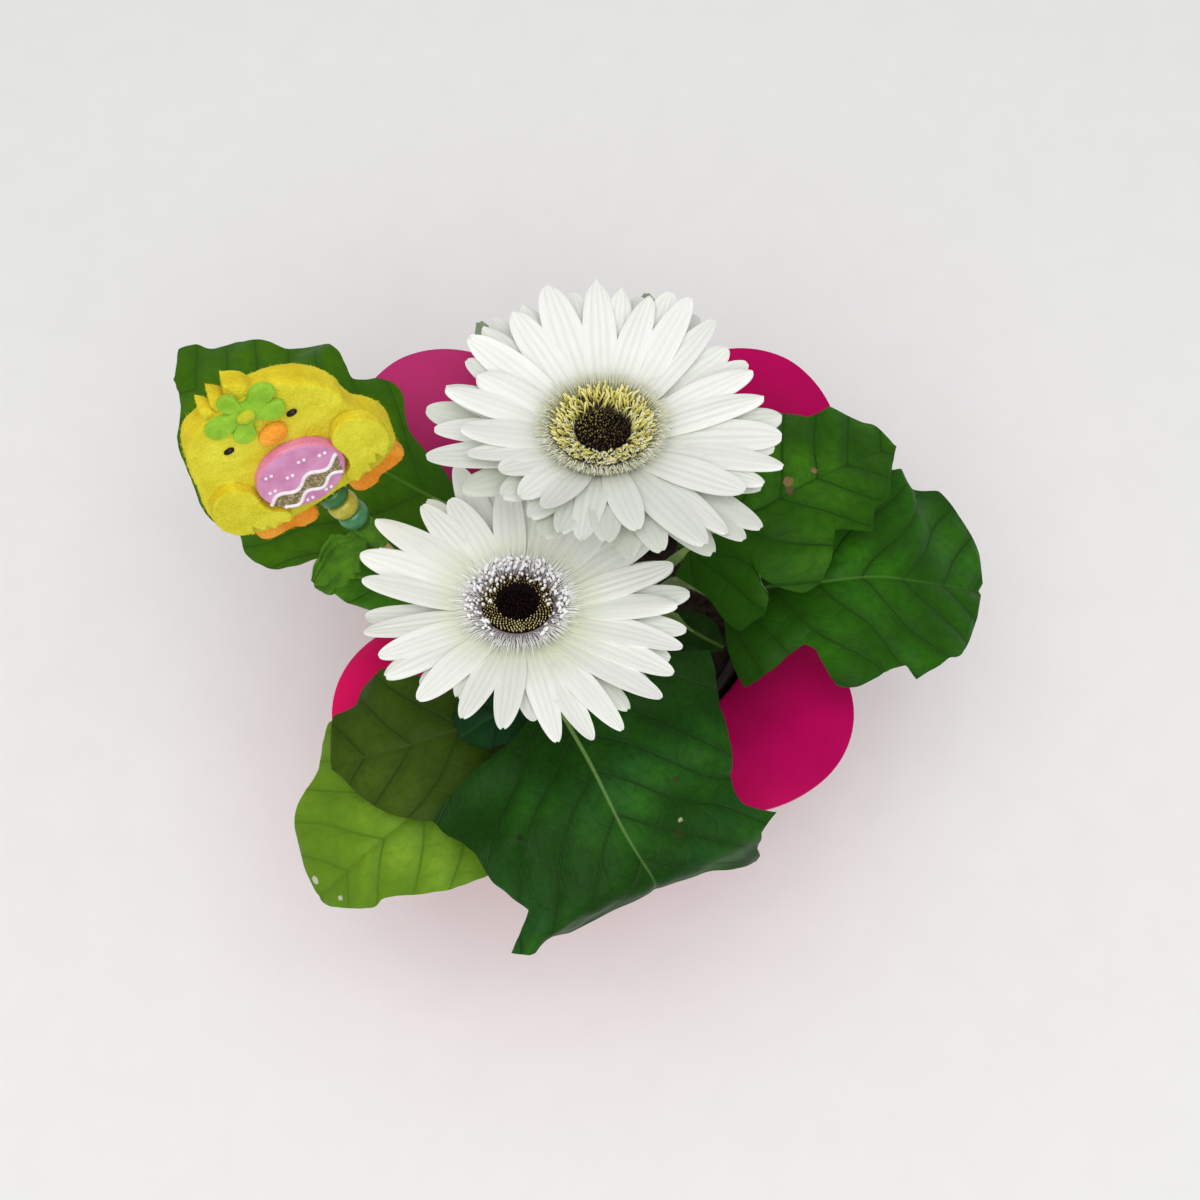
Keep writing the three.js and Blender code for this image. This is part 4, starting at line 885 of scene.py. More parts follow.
receptacle_radius, receptacle_depth = 11.5, 6
calyx_radius, calyx_stem, calyx_length = 10.8, 2.4, 15
bell_top = receptacle_depth + 0.3
# Each row of bracts: how far below the bell's top it starts and ends.
bract_rows = [(14.5, 4.5), (11, 2), (7.5, -0.6)]
bracts_per_row, bract_half_width = 17, 1.9


def head_frame(bloom):
    """Turns the rows of a bloom's own points (z along its axis) to the plant's frame."""
    lean = math.radians(bloom["lean_back"])
    turn = np.array([[1, 0, 0], [0, math.cos(lean), math.sin(lean)],
                     [0, -math.sin(lean), math.cos(lean)]])
    return lambda points: np.asarray(points, float) @ turn.T + np.array(bloom["centre"], float)


def bell_radius(depth):
    """The bell's radius at a depth below its top: full at the top, eased down to the stalk."""
    return np.interp(depth / calyx_length, [0, 0.2, 0.35, 0.5, 0.7, 0.85, 1],
                     [calyx_radius, 10.2, 9.2, 7.6, 5, 3.4, calyx_stem])


def bare_stalk(bloom, seed):
    """A rod along a soft curve from the peat to the bell's top. It thins upwards and takes the
    bell's radius where that is wider, and short hairs stand on it."""
    deep = [*bloom["stalk"][0][:2], peat_top - stem_depth]
    end = head_frame(bloom)([[0, 0, -bell_top - below] for below in (28, 12, 0)])
    curve = smooth_curve([deep, *bloom["stalk"], *end])
    length = curve[1][-1]
    station = np.concatenate([np.linspace(0, length - calyx_length, 60),
                              length - np.linspace(calyx_length, 0, 24)[1:]])
    thick = np.interp(station / length, [0, 0.3, 0.5, 1], np.array([1.15, 1.02, 1, 1]) * calyx_stem)
    thick = np.maximum(thick, bell_radius(length - station))
    place, _ = read_curve(curve, station)
    hairs = downy(curve, calyx_stem, 1500, 1.1, np.random.default_rng(seed))
    return [rods(place[None], thick, sides=28), rods(hairs, [0.08, 0.03], sides=3)]


def bracts_on(bloom):
    """Rows of bracts round the bell. u runs from a bract's root to its point and v across it.
    It widens and narrows as a sine and bulges in the middle, its point stands off, and each
    row lies a little farther out than the one below it."""
    u, v = np.linspace(0, 1, 12), np.linspace(-1, 1, 7)
    bracts = []
    for row, (low, high) in enumerate(bract_rows):
        turn = 2 * np.pi * (np.arange(bracts_per_row) + row / len(bract_rows)) / bracts_per_row
        depth = low + (high - low) * u
        blade = bract_half_width * np.sin(np.pi * np.minimum(1, 0.22 + 0.72 * u)) ** 0.8
        stand = 0.25 + 0.3 * row + 0.9 * u ** 6
        radius = bell_radius(np.maximum(depth, 0)) + stand
        angle = turn[:, None, None] + (v * blade[:, None] / radius[:, None])[None]
        bulge = (radius[:, None] + 0.35 * (1 - v ** 2))[None]
        height = np.broadcast_to((-bell_top - depth)[None, :, None], angle.shape)
        outer = np.stack([bulge * np.cos(angle), bulge * np.sin(angle), height], axis=-1)
        inner = outer * [0.955, 0.955, 1]
        bracts.append(slabs(*map(head_frame(bloom), (outer, inner))))
    return bracts


for seed, (name, bloom) in enumerate(blooms.items()):
    shells = [*bare_stalk(bloom, 60 + seed), *bracts_on(bloom)]
    piece = make_piece(f"{name}_flower_stalk", shells, [downy_stalk])
    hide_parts(f"scape_{name}")

# ---- ray petals ---------------------------------------------------------------------------
# The white rays of a gerbera are straps with a blunt tip of three tiny teeth and two or three
# shallow grooves along them. They grow in layers from the edge of a pale round receptacle,
# and their skin is silky and lets a little light through.

petal_root, petal_thickness = 9, 0.42
groove_place, groove_width, groove_depth = 0.45, 0.15, 0.3
tooth_place, tooth_width, tooth_start, tooth_depth = 0.4, 0.13, 0.94, 0.9
most_sway, most_curl, most_twist = 1.6, 2.0, 0.35
petal_rows, petal_columns = 24, 17
striae_length, striae_step, fleck_distance = 11.1, 0.5, 13.33


def petal_layer(layer, tip, shade, dice):
    """All petals of a layer. From its root to half its length a strap widens as a quarter
    sine, then rounds to its tip as a superellipse, which two notches cut into three teeth. It
    climbs in a straight line less a droop that grows with the square of the length, arches
    across, and sinks along its grooves. By its own draws it sways aside, curls, twists and
    ripples. Each has its own grey, a random tone on a painted shade that is deeper on the back
    layers and deeper still by the shade on the bloom's lower side."""
    azimuth, reach, width = np.array(layer["petals"], float).T
    azimuth, reach, width = (a[:, None, None] for a in (np.radians(azimuth), reach, width))
    count = len(layer["petals"])
    draw = [dice.uniform(-1, 1, size=(count, 1, 1)) for _ in range(7)]
    t = (1 - np.linspace(1, 0, petal_rows) ** 1.35)[None, :, None]
    v = np.linspace(-1, 1, petal_columns)[None, None, :]
    widen = 0.5 + 0.5 * np.sin(np.pi / 2 * np.minimum(1, t / 0.52))
    beyond = np.maximum(0, t - 0.5) / (0.5 + tip["bluntness"])
    half = width / 2 * widen * np.sqrt(1 - beyond ** (tip["shape"] + 0.4 * draw[0]))
    notch = np.exp(-((np.abs(v) - tooth_place) / tooth_width) ** 2)
    notch = notch * np.clip((t - tooth_start) * 16, 0, 1) * np.maximum(0, draw[6])
    radius = petal_root + (reach - petal_root) * t - tooth_depth * notch
    sway = draw[1] * most_sway * t ** 2
    across = v * half + sway
    height = layer["start"] + layer["climb"] * t - layer["droop"] * t ** 2
    height = height + 0.5 * draw[2] + most_curl * draw[3] * t ** 2
    height = height + v * half * t * most_twist * draw[4]
    arch = (0.4 + 0.7 * draw[5]) * (1 - v ** 2) * (0.3 + 0.7 * t)
    channel = -0.5 * (1 - v ** 2) * np.maximum(0, 1 - 5 * t)
    grooves = sum(np.exp(-((v - 0.12 * draw[2] - g) / groove_width) ** 2) * (0.6 + 0.4 * draw[k])
                  for k, g in ((3, -groove_place), (4, 0.0), (5, groove_place)))
    fade = np.clip(t * 6, 0, 1) * np.clip((1 - t) * 5, 0, 1)
    height = height + arch + channel - groove_depth * grooves * fade
    height = height + 0.25 * np.sin(7 * t + 3 * draw[0]) * t
    front = np.stack(np.broadcast_arrays(radius, across, height), axis=-1)
    back = front - [0, 0, petal_thickness]
    turn, aside = np.cos(azimuth), np.sin(azimuth)
    sheets = [np.stack([x * turn - y * aside, x * aside + y * turn, z], axis=-1)
              for x, y, z in (np.moveaxis(grid, -1, 0) for grid in (front, back))]
    size = (count, petal_rows, petal_columns)
    # Painted shade: the layer's grey and a random tone, deeper by the shade on the lower side.
    grey = layer["grey"] + 0.15 * draw[0] - shade * np.sin(azimuth)
    strap = np.stack([np.broadcast_to(part, size) for part in (t, v, grey)], axis=-1)
    millimetres = np.stack(np.broadcast_arrays(radius + 60 * draw[1], across, 0.0), axis=-1)
    return sheets, strap, millimetres


def petal_skin(name, root_tint, cream):
    """White ray skin: silky, a little light passes through, greenish at the root, then cream,
    with painted shade along its grooves, on the back layers and on the bloom's lower side. It has
    fine striae 0.5 mm apart and a rare brown fleck."""
    material, tree, skin = finish(name, Roughness=0.5, IOR=1.4, Subsurface_Weight=0.2,
                                  Subsurface_Radius=(0.002, 0.002, 0.0015), Sheen_Weight=0.1)
    strap = node(tree, "Attribute", attribute_name="strap").outputs["Vector"]
    along, side, grey = node(tree, "SeparateXYZ", {0: strap}).outputs
    flat = node(tree, "Attribute", attribute_name="millimetres").outputs["Vector"]
    # Folded twice, the place across the strap is the distance from the nearest of its grooves.
    side = node(tree, "Math", {0: side}, operation="ABSOLUTE")
    for _ in range(2):
        side = node(tree, "Math", {0: side, 1: groove_place / 2}, operation="SUBTRACT")
        side = node(tree, "Math", {0: side}, operation="ABSOLUTE")
    # The furrow is painted shade along the grooves.
    furrow = node(tree, "MapRange", {0: side, 1: 0.02, 2: 0.18, 3: 0.2, 4: 0.0})
    stretch = node(tree, "Mapping", {"Vector": flat,
                                     "Scale": (1 / striae_length, 1 / striae_step, 1.0)})
    striae = node(tree, "TexNoise", {"Vector": stretch, "Scale": 1.0, "Detail": 2.0})
    lines = node(tree, "MapRange", {0: striae, 1: 0.35, 2: 0.6, 3: 0.16, 4: 0.0})
    flecks = node(tree, "TexVoronoi", {"Vector": flat, "Scale": 1 / fleck_distance})
    fleck = node(tree, "MapRange", {0: flecks, 1: 0.012, 2: 0.03, 3: 0.75, 4: 0.0})
    body = node(tree, "ValToRGB", {"Fac": along},
                [(0.02, root_tint), (0.18, cream), (0.5, "#F7F8F3")])
    # Mixed in: the painted shade of the layer and the lower side, the painted shade of the furrows, the
    # striae and the flecks.
    for share, tint in ((grey, "#C9CEC2"), (furrow, "#B8BEB0"), (lines, "#CBCFC4"),
                        (fleck, "#8A7456")):
        body = node(tree, "MixRGB", {0: share, 1: body, 2: tint})
    relief = node(tree, "Bump", {"Height": striae, "Strength": 0.25, "Distance": 0.0004})
    connect(tree, skin, {"Base Color": body, "Normal": relief})
    return material


# The receptacle's skin is smooth and greenish white, and only its rim shows from below.
receptacle_skin = mottled("receptacle_skin", (2.5, 2), [(0.3, "#B9C49A"), (0.7, "#CFD8B8")],
                          Roughness=0.6)

for seed, (name, bloom) in enumerate(blooms.items()):
    to_plant = head_frame(bloom)
    dice = np.random.default_rng(80 + seed)
    shells = []
    for layer in bloom["layers"]:
        sheets, strap, millimetres = petal_layer(layer, bloom["tip"], bloom["shade"], dice)
        shells.append(slabs(*map(to_plant, sheets), strap=strap, millimetres=millimetres))
    around = np.linspace(0, 2 * np.pi, 64, endpoint=False)
    button = ring_rows(around, [
        (0, -receptacle_depth), (receptacle_radius - 2.5, -receptacle_depth),
        (receptacle_radius - 0.8, -receptacle_depth + 1), (receptacle_radius, -3),
        (receptacle_radius, -0.8), (receptacle_radius - 1, 0), (0, 0),
    ])
    shells.append(shell(to_plant(button), grid_faces(len(button), len(around), ring=True), 1))
    ray_skin = petal_skin(f"{name}_petal_skin", bloom["root_tint"], bloom["cream"])
    piece = make_piece(f"{name}_petals", shells, [ray_skin, receptacle_skin])
    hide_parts(f"{name}_ray_petals")

# ---- disc florets -------------------------------------------------------------------------
# The middle of a bloom is a dense head of tiny tube flowers that open from the rim inwards.
# Closed ones are dark bristly buds; open ones carry a pale forked style; at the rim a fringe
# of fine hairs lies out over the petals. They stand on a spiral, each 137.5 degrees on.

golden_turn = math.radians(137.508)
middling_reach, bed_overlap, bed_lift = 45, 0.45, 0.3


def rays_top(bloom, radius):
    """How high the front petals reach at a distance from the axis; florets stay above. The
    rise and droop are the petals' own, for one of middling reach."""
    layer = bloom["layers"][0]
    t = np.maximum(0, (radius - petal_root) / (middling_reach - petal_root))
    return np.maximum(0, layer["start"] + layer["climb"] * t - layer["droop"] * t ** 2 + 0.95)


def spiral(inner, outer, spacing):
    """Spots at equal density between two radii: each is a golden turn on from the last, and
    its radius grows as the square root of its number. Gives their radii and directions."""
    count = int(np.pi * outer ** 2 / spacing ** 2)
    k = np.arange(count) + 0.5
    radius = outer * np.sqrt(k / count)
    keep = radius >= inner
    return radius[keep], (k * golden_turn)[keep]


def floret_skin(name, stops, gloss, spread):
    """A floret's waxy tube or hair: matt, with a faint bloom at its edges. Its colours run from
    root to tip, and each floret is a little lighter or darker."""
    material, tree, skin = finish(name, Roughness=0.8, Sheen_Weight=0.15 * gloss,
                                  Specular_IOR_Level=0.5 * gloss)
    along = node(tree, "Attribute", attribute_name="along").outputs["Fac"]
    own = node(tree, "Attribute", attribute_name="draw").outputs["Fac"]
    shifted = node(tree, "MapRange", {0: own, 1: 0.0, 2: 1.0, 3: -spread, 4: spread})
    place = node(tree, "Math", {0: along, 1: shifted}, operation="ADD")
    connect(tree, skin, {"Base Color": node(tree, "ValToRGB", {"Fac": place}, stops)})
    return material


def bed_of(bloom, inner, outer, rise):
    """The ground that florets stand on: a ring or disc over the petals' roots. A ring reaches
    in under the edge of the next."""
    around = np.linspace(0, 2 * np.pi, 72, endpoint=False)
    inner = max(0, inner - bed_overlap)
    radius = np.linspace(inner, outer, 7)
    top = list(zip(radius, rays_top(bloom, radius) + bed_lift + rise))
    under = [(r, float(rays_top(bloom, r)) + bed_lift) for r in (outer, inner)]
    rows = ring_rows(around, [*top, *under, top[0]])
    faces = grid_faces(len(rows), len(around), ring=True)
    return shell(head_frame(bloom)(rows), faces, draw=0.5, along=0.0)


# Open florets of the lower bloom are dark at the root and end in a round white knob.
knob_stops = [(0.0, "#2A1420"), (0.35, "#6A5A68"), (0.5, "#F0EEF0"), (1.0, "#FCFBFC")]
# For each ring of a bloom: its slot, the node that it stands for, how high its bed rises, and
# its stands of florets. A stand has their spacing and, for the points of their stems, how far
# each goes up and out and how thick it is. It may also say which way it grows or pales towards
# and how far round it reaches, where it starts, how much the florets vary and sway, how far
# their colours spread, and how glossy they are.
floret_kinds = {
    "upper": {
        "fringe": {"slot": "upper_fringe", "node": "outer_florets", "rise": 1.5, "stands": [
            # These hairs darken to grey-olive at their roots: partly their own colour, partly painted
            # shade where they lie over the petals.
            {"spacing": 0.6, "rises": [0, 1.5, 2.4, 2.7], "outs": [0, 0.7, 2.0, 3.5],
             "radii": [0.15, 0.13, 0.09, 0.04],
             "stops": [(0.0, "#A09F78"), (0.45, "#CACAA8"), (1.0, "#E8E8DA")]},
            {"spacing": 0.95, "rises": [0, 1.4, 2.1, 2.0], "outs": [0, 0.4, 1.1, 2.0],
             "radii": [0.14, 0.16, 0.18, 0.13], "towards": -85, "half": 120, "sway": 0.7,
             "stops": [(0.0, "#7C7C5C"), (0.5, "#BCBC9C"), (1.0, "#F0F0E2")]},
        ]},
        "florets": {"slot": "upper_florets", "node": "disc_florets", "rise": 1.5, "stands": [
            {"spacing": 0.8, "rises": [0, 1.2, 2.2, 2.7], "outs": [0, 0.1, 0.6, 1.3],
             "radii": [0.15, 0.17, 0.23, 0.16], "vary": 0.55, "sway": 0.9, "spread": 0.25,
             "stops": [(0.0, "#2C1810"), (0.25, "#7A7234"), (0.5, "#C2B750"), (0.75, "#E6DC74"),
                       (1.0, "#F2ECAE")]},
            {"spacing": 0.85, "rises": [0, 1.2, 2.0, 2.2], "outs": [0, 0.2, 0.5, 1.0],
             "radii": [0.15, 0.18, 0.23, 0.16], "towards": -80, "half": 125, "sway": 0.9,
             "stops": [(0.0, "#5C5A34"), (0.5, "#B8B890"), (0.9, "#F4F3E6")]},
        ]},
        "eye": {"slot": "upper_eye", "node": "disc_eye", "rise": 1.6, "stands": [
            {"spacing": 0.78, "rises": [0, 0.9, 1.6], "outs": [0, -0.05, -0.2],
             "radii": [0.26, 0.28, 0.14], "towards": 165, "vary": 0.4, "gloss": 0.25,
             "stops": [(0.0, "#0C0405"), (0.7, "#220A0B"), (0.9, "#564A24"), (1.0, "#A09A50")]},
        ]},
    },
    "lower": {
        "fringe": {"slot": "lower_fringe", "node": "outer_florets", "rise": 1.1, "stands": [
            {"spacing": 0.64, "rises": [0, 1.1, 1.7, 1.9], "outs": [0, 0.8, 2.4, 4.2],
             "radii": [0.14, 0.11, 0.07, 0.03],
             "stops": [(0.0, "#8E8288"), (0.25, "#DCDAD8"), (0.5, "#F0F0EC"), (1.0, "#FCFCFA")]},
            {"spacing": 1.25, "rises": [0, 1.0, 1.7, 2.1, 2.4], "outs": [0, 0.1, 0.2, 0.35, 0.5],
             "radii": [0.14, 0.16, 0.38, 0.44, 0.26], "towards": 90, "half": 150, "sway": 0.6,
             "stops": knob_stops},
        ]},
        "florets": {"slot": "lower_florets", "node": "disc_florets", "rise": 0.9, "stands": [
            {"spacing": 0.78, "rises": [0, 0.9, 1.7, 2.1], "outs": [0, 0.0, 0.05, 0.1],
             "radii": [0.12, 0.13, 0.22, 0.15], "vary": 0.08, "sway": 0.04, "towards": -90,
             "spread": 0.3, "gloss": 0.2,
             "stops": [(0.0, "#100408"), (0.5, "#38180F"), (0.78, "#AA9850"), (1.0, "#E6DCA0")]},
            {"spacing": 1.35, "rises": [0, 1.0, 1.7, 2.1, 2.4], "outs": [0, 0.1, 0.2, 0.3, 0.4],
             "radii": [0.14, 0.16, 0.36, 0.42, 0.26], "towards": 90, "half": 110, "beyond": 6.9,
             "stops": knob_stops},
        ]},
        "eye": {"slot": "lower_eye", "node": "disc_eye", "rise": 0.3, "stands": [
            {"spacing": 0.85, "rises": [0, 0.5, 0.8], "outs": [0, -0.1, -0.2],
             "radii": [0.28, 0.3, 0.14], "gloss": 0.1, "towards": -90,
             "stops": [(0.0, "#050202"), (0.7, "#0A0304"), (1.0, "#3C141A")]},
        ]},
    },
}


def stand_of(bloom, ring, rise, stand, dice):
    """One kind of floret on its ring: paths, radii and a lightness for each. A path goes up and
    outwards from its spot by its size, and sways round the axis. Some kinds grow mostly on one
    side; others that name a side grow all round and are paler towards it."""
    inner, outer = ring
    radius, angle = spiral(max(inner, stand.get("beyond", 0)), outer, stand["spacing"])
    off_side = np.degrees(np.arccos(np.cos(angle - math.radians(stand.get("towards", 0)))))
    if "half" in stand:
        keep = off_side < stand["half"] * dice.uniform(0.7, 1.1, len(radius))
        radius, angle, off_side = radius[keep], angle[keep], off_side[keep]
    vary = stand.get("vary", 0.25)
    size = dice.uniform(1 - vary, 1 + vary, size=(len(radius), 1))
    base = rays_top(bloom, radius) + 0.2 + rise * (1 - 0.2 * (radius / outer) ** 2)
    sway = dice.uniform(-1, 1, size=(len(radius), 1)) * np.arange(len(stand["rises"]))
    r = radius[:, None] + size * stand["outs"]
    a = angle[:, None] + sway * stand.get("sway", 0.35) / np.maximum(r, 2)
    paths = np.stack([r * np.cos(a), r * np.sin(a), base[:, None] + size * stand["rises"]], axis=-1)
    draw = dice.random(len(radius))
    if "towards" in stand and "half" not in stand:
        draw = np.clip(draw * 0.5 + 0.9 * radius / outer * (0.5 - off_side / 180), -1, 1)
    return head_frame(bloom)(paths), size * stand["radii"], draw


for seed, (name, kinds) in enumerate(floret_kinds.items()):
    bloom = blooms[name]
    dice = np.random.default_rng(120 + seed)
    eye, florets, fringe = (bloom["rings"][key] for key in ("eye", "florets", "fringe"))
    rings = {"eye": (0, eye), "florets": (eye + 0.3, florets), "fringe": (florets + 0.3, fringe)}
    for kind_name, kind in kinds.items():
        ring, rise = rings[kind_name], kind["rise"]
        shells, skins = [bed_of(bloom, *ring, rise)], []
        for i, stand in enumerate(kind["stands"]):
            paths, radii, draw = stand_of(bloom, ring, rise, stand, dice)
            shells.append(rods(paths, radii, sides=5, skins=i, draw=draw))
            skins.append(floret_skin(f"{name}_{kind_name}_skin_{i + 1}", stand["stops"],
                                     stand.get("gloss", 1.0), stand.get("spread", 0.12)))
        piece = make_piece(f"{name}_{kind_name}", shells, skins)
        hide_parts(f"{name}_{kind['node']}")

# ---- chick pick: foam chick ---------------------------------------------------------------
# A spring decoration stuck in the peat on a thin dowel. The chick is cut from soft foam sheet
# and flocked, with flocked wings, feet and beak glued on. In the pick's own frame x runs across
# the chick, y up its body and z out of its face, with z = 0 on the face.

pick_foot = np.array([-74.0, -18.0, 198.0])
pick_across = np.array([0.853, 0.379, 0.36])
pick_up = np.array([-0.435, 0.132, 0.891])
pick_across /= np.linalg.norm(pick_across)
pick_up -= pick_across * (pick_up @ pick_across)
pick_up /= np.linalg.norm(pick_up)
pick_axes = np.stack([pick_across, pick_up, np.cross(pick_across, pick_up)])
body_thick = 9


def place_pick(points):
    """Takes points of the pick's own frame to the plant's."""
    return pick_foot + np.asarray(points, float) @ pick_axes


def foam_slab(outline, centre, back, front, soft, crown=0.0, lump=0.15, seed=0, skins=(0, 0),
              steps=5):
    """A piece cut from foam sheet, between two heights. Rows of points run from the middle of
    its face to the rim, round a quarter circle of the soft radius, down the side, and back in
    underneath. The face swells by the crown, less the square of the way out, and every point
    is moved by a little noise for the lumps. The two skins are the face's and the side's, and
    steps is how many points the outline has from one of its corners to the next."""
    edge = soft_line(outline, steps, closed=True)
    spoke = edge - centre
    size = np.linalg.norm(spoke, axis=1)
    quarter = np.radians(np.linspace(0, 90, 7))
    face = np.linspace(0, 1, 15)[:-1]
    side = np.linspace(front - soft, back + soft, 7)[1:-1]
    flat = 1 - soft / size
    shares = [*(f * flat for f in face), *(flat + soft / size * np.sin(q) for q in quarter)]
    shares = [*shares, *np.ones((len(side), len(size))), *shares[::-1]]
    turned_in = soft * (1 - np.cos(quarter))
    heights = np.concatenate([front + crown * (1 - face ** 2), front - turned_in, side,
                              back + turned_in[::-1], np.full(len(face), back)])
    rows = np.stack([np.column_stack([centre + spoke * share[:, None], np.full(len(size), height)])
                     for share, height in zip(shares, heights)])
    bumps = [noise(rows, 5.5, seed + k) * 1.4 + noise(rows, 1.3, seed + k + 3) for k in range(3)]
    rows = rows + lump * np.stack(bumps, axis=-1)
    faces = grid_faces(len(rows), len(edge), ring=True)
    on_face = np.arange(len(faces)) // len(edge) < len(face) + 3
    return shell(place_pick(rows), faces, np.where(on_face, *skins))


def fibres_on(slab, count, seed):
    """Loose fibres of flock on a slab, 0.2 to 0.6 mm long. Each starts at a random spot of a face
    picked by its area and stands off at a random slant."""
    dice = np.random.default_rng(seed)
    corners = slab["points"][slab["faces"]]
    out = np.cross(corners[:, 2] - corners[:, 0], corners[:, 3] - corners[:, 1])
    size = np.linalg.norm(out, axis=1)
    pick = dice.choice(len(size), count, p=size / size.sum())
    mix = dice.dirichlet(np.ones(4), count)
    root = np.sum(corners[pick] * mix[:, :, None], axis=1)
    out = out[pick] / size[pick, None]
    out *= np.sign(np.sum(out * (root - slab["points"].mean(axis=0)), axis=1))[:, None]
    slant = out + 0.55 * dice.normal(size=(count, 3))
    tip = root + slant * dice.uniform(0.15, 0.45, size=(count, 1))
    return rods(np.stack([root - 0.1 * out, tip], axis=1), [0.07, 0.04], sides=3)


def oval(x, y, width, height, sides=14):
    """Points round an oval."""
    angle = np.linspace(0, 2 * np.pi, sides, endpoint=False)
    return np.stack([x + width / 2 * np.cos(angle), y + height / 2 * np.sin(angle)], axis=1)


def mirrored(points):
    """The same outline on the chick's other side."""
    return [[-x, y] for x, y in points][::-1]


def fleecy(name, dyes, shares, fibres, fibre_share, patches, height, curl=0.0, **inputs):
    """A coat of dyed fibres. Noise for the fibres, times its share, plus coarse noise for worn
    patches runs from the deep to the bright dye, and the fibres stand up by a height. Fibres
    and patches are patterns: a size in millimetres and a detail. The bright bloom at its edges
    has the bright dye's colour."""
    material, tree, skin = finish(name, Sheen_Tint=dyes[1], **inputs)
    where = node(tree, "TexCoord").outputs["Object"]
    fine, coarse = (
        node(tree, "TexNoise", {"Vector": where, "Scale": 1000 / size, "Detail": detail,
                                "Distortion": twist})
        for (size, detail), twist in ((fibres, curl), (patches, 0.0))
    )
    both = node(tree, "Math", {0: fine, 1: fibre_share, 2: coarse}, operation="MULTIPLY_ADD")
    dye = node(tree, "ValToRGB", {"Fac": both}, zip(shares, dyes))
    relief = node(tree, "Bump", {"Height": fine, "Strength": 0.5, "Distance": height})
    connect(tree, skin, {"Base Color": dye, "Normal": relief})
    return material


def flocked(name, tuft, *dyes):
    """Flocked foam: short dyed fibres blown onto glue. It is quite matt with a bright bloom at
    its edges, and its fibres, drawn in tufts of the given width, make a soft grain."""
    return fleecy(name, dyes, (0.5, 0.85), (tuft, 2), 0.35, (7.69, 3), 0.0009,
                  Roughness=1.0, Sheen_Weight=0.22, Sheen_Roughness=0.6)


body_outline = [
    [0, 0.4], [12, 0.4], [20, 1.2], [25.2, 4.5], [27.2, 9], [27.4, 13.5], [26, 18], [23.6, 22],
    [22.9, 26], [23, 30], [22, 34.5], [20.3, 38.5], [17.5, 42], [13, 45.3], [8, 46.9], [0, 47.6],
    [-8, 47.2], [-15, 45.9], [-18, 44], [-20.5, 40.5], [-23.5, 33.5], [-25.7, 26.6],
    [-27.6, 21.5], [-29, 16], [-28.8, 11.5], [-26.3, 6.1], [-21.8, 1.9], [-13, 0.4],
]
tufts = [
    [[-9.5, 46], [-9.2, 49.5], [-8.2, 52.6], [-6.6, 50.4], [-5.4, 46.5]],
    [[-5.2, 46], [-5.4, 50], [-3.8, 53.6], [-1.6, 50.6], [-0.6, 46.5]],
    [[-0.6, 46], [-0.8, 50.4], [1.2, 54], [3.4, 52.4], [5.4, 50.2], [6.4, 46]],
]
wing_outline = [
    [13.2, 20.5], [16.5, 24.8], [20.8, 25.8], [24.6, 23.4], [27, 18.8], [27.1, 14], [25, 9.4],
    [21.6, 6.8], [20.6, 9.6], [18.6, 6.2], [17, 7.4], [15.6, 4.8], [13.6, 5.6], [11.4, 3.8],
    [9.8, 5.4], [10.2, 8.4], [12.9, 10.8], [13.6, 15],
]
foot_outline = [
    [6.5, 0.05], [19.5, 0.4], [24, 2.6], [24.3, -3], [22, -5], [18, -5.6], [14.6, -5.8],
    [12.2, -7.6], [8, -7.6], [6.2, -5],
]
body_middle, wing_middle, foot_middle = (0, 22), (19, 16), (15.5, -1.5)
beak_middle, beak_size = (2.6, 33.4), (8.6, 6.2)
eye_middle, eye_size = (10.2, 35.3), (3.2, 2.0)

lemon_flock = flocked("lemon_flocked_face", 0.7, "#D4CA22", "#E8E23E")
yellow_flock = flocked("yellow_flocked_side", 0.9, "#D8C016", "#F0DE2E")
orange_flock = flocked("orange_flocked_foam", 0.8, "#EE8E1A", "#FFB23C")

chick_tufts = [
    foam_slab(points, np.mean(points, axis=0), back=-6.5 - 0.5 * i, front=-1.2, soft=0.6,
              crown=0.3, lump=0.1, seed=7 + i, skins=(1, 1))
    for i, points in enumerate(tufts)
]
body = foam_slab(body_outline, body_middle, back=-body_thick, front=0, soft=1.5, crown=0.5,
                 lump=0.2, seed=3, skins=(0, 1), steps=8)
fuzz = [fibres_on(body, 4800, 1),
        *(fibres_on(tuft, 150, 2 + i) for i, tuft in enumerate(chick_tufts))]
chick = make_piece("chick_foam_body", [body, *chick_tufts, *fuzz], [lemon_flock, yellow_flock])
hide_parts("chick_body")
for side, sign, turn in (("right", 1, list), ("left", -1, mirrored)):
    slab = foam_slab(turn(wing_outline), np.multiply(wing_middle, (sign, 1)), back=0.2,
                     front=4.2, soft=0.6, crown=0.3, seed=20, skins=(0, 1))
    wing = make_piece(f"chick_foam_wing_{side}", [slab, fibres_on(slab, 900, 8)],
                      [lemon_flock, yellow_flock])
    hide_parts(f"chick_wing_{side}")
    slab = foam_slab(turn(foot_outline), np.multiply(foot_middle, (sign, 1)), back=-6.6,
                     front=-3, soft=0.6, lump=0.1, seed=25)
    foot = make_piece(f"chick_foam_foot_{side}", [slab, fibres_on(slab, 500, 9)], [orange_flock])
    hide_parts(f"chick_foot_{side}")
slab = foam_slab(oval(*beak_middle, *beak_size), beak_middle, back=0.2, front=3.4, soft=1.3,
                 crown=0.5, lump=0.1, seed=30, steps=4)
beak = make_piece("chick_foam_beak", [slab, fibres_on(slab, 250, 10)], [orange_flock])
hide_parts("chick_beak")

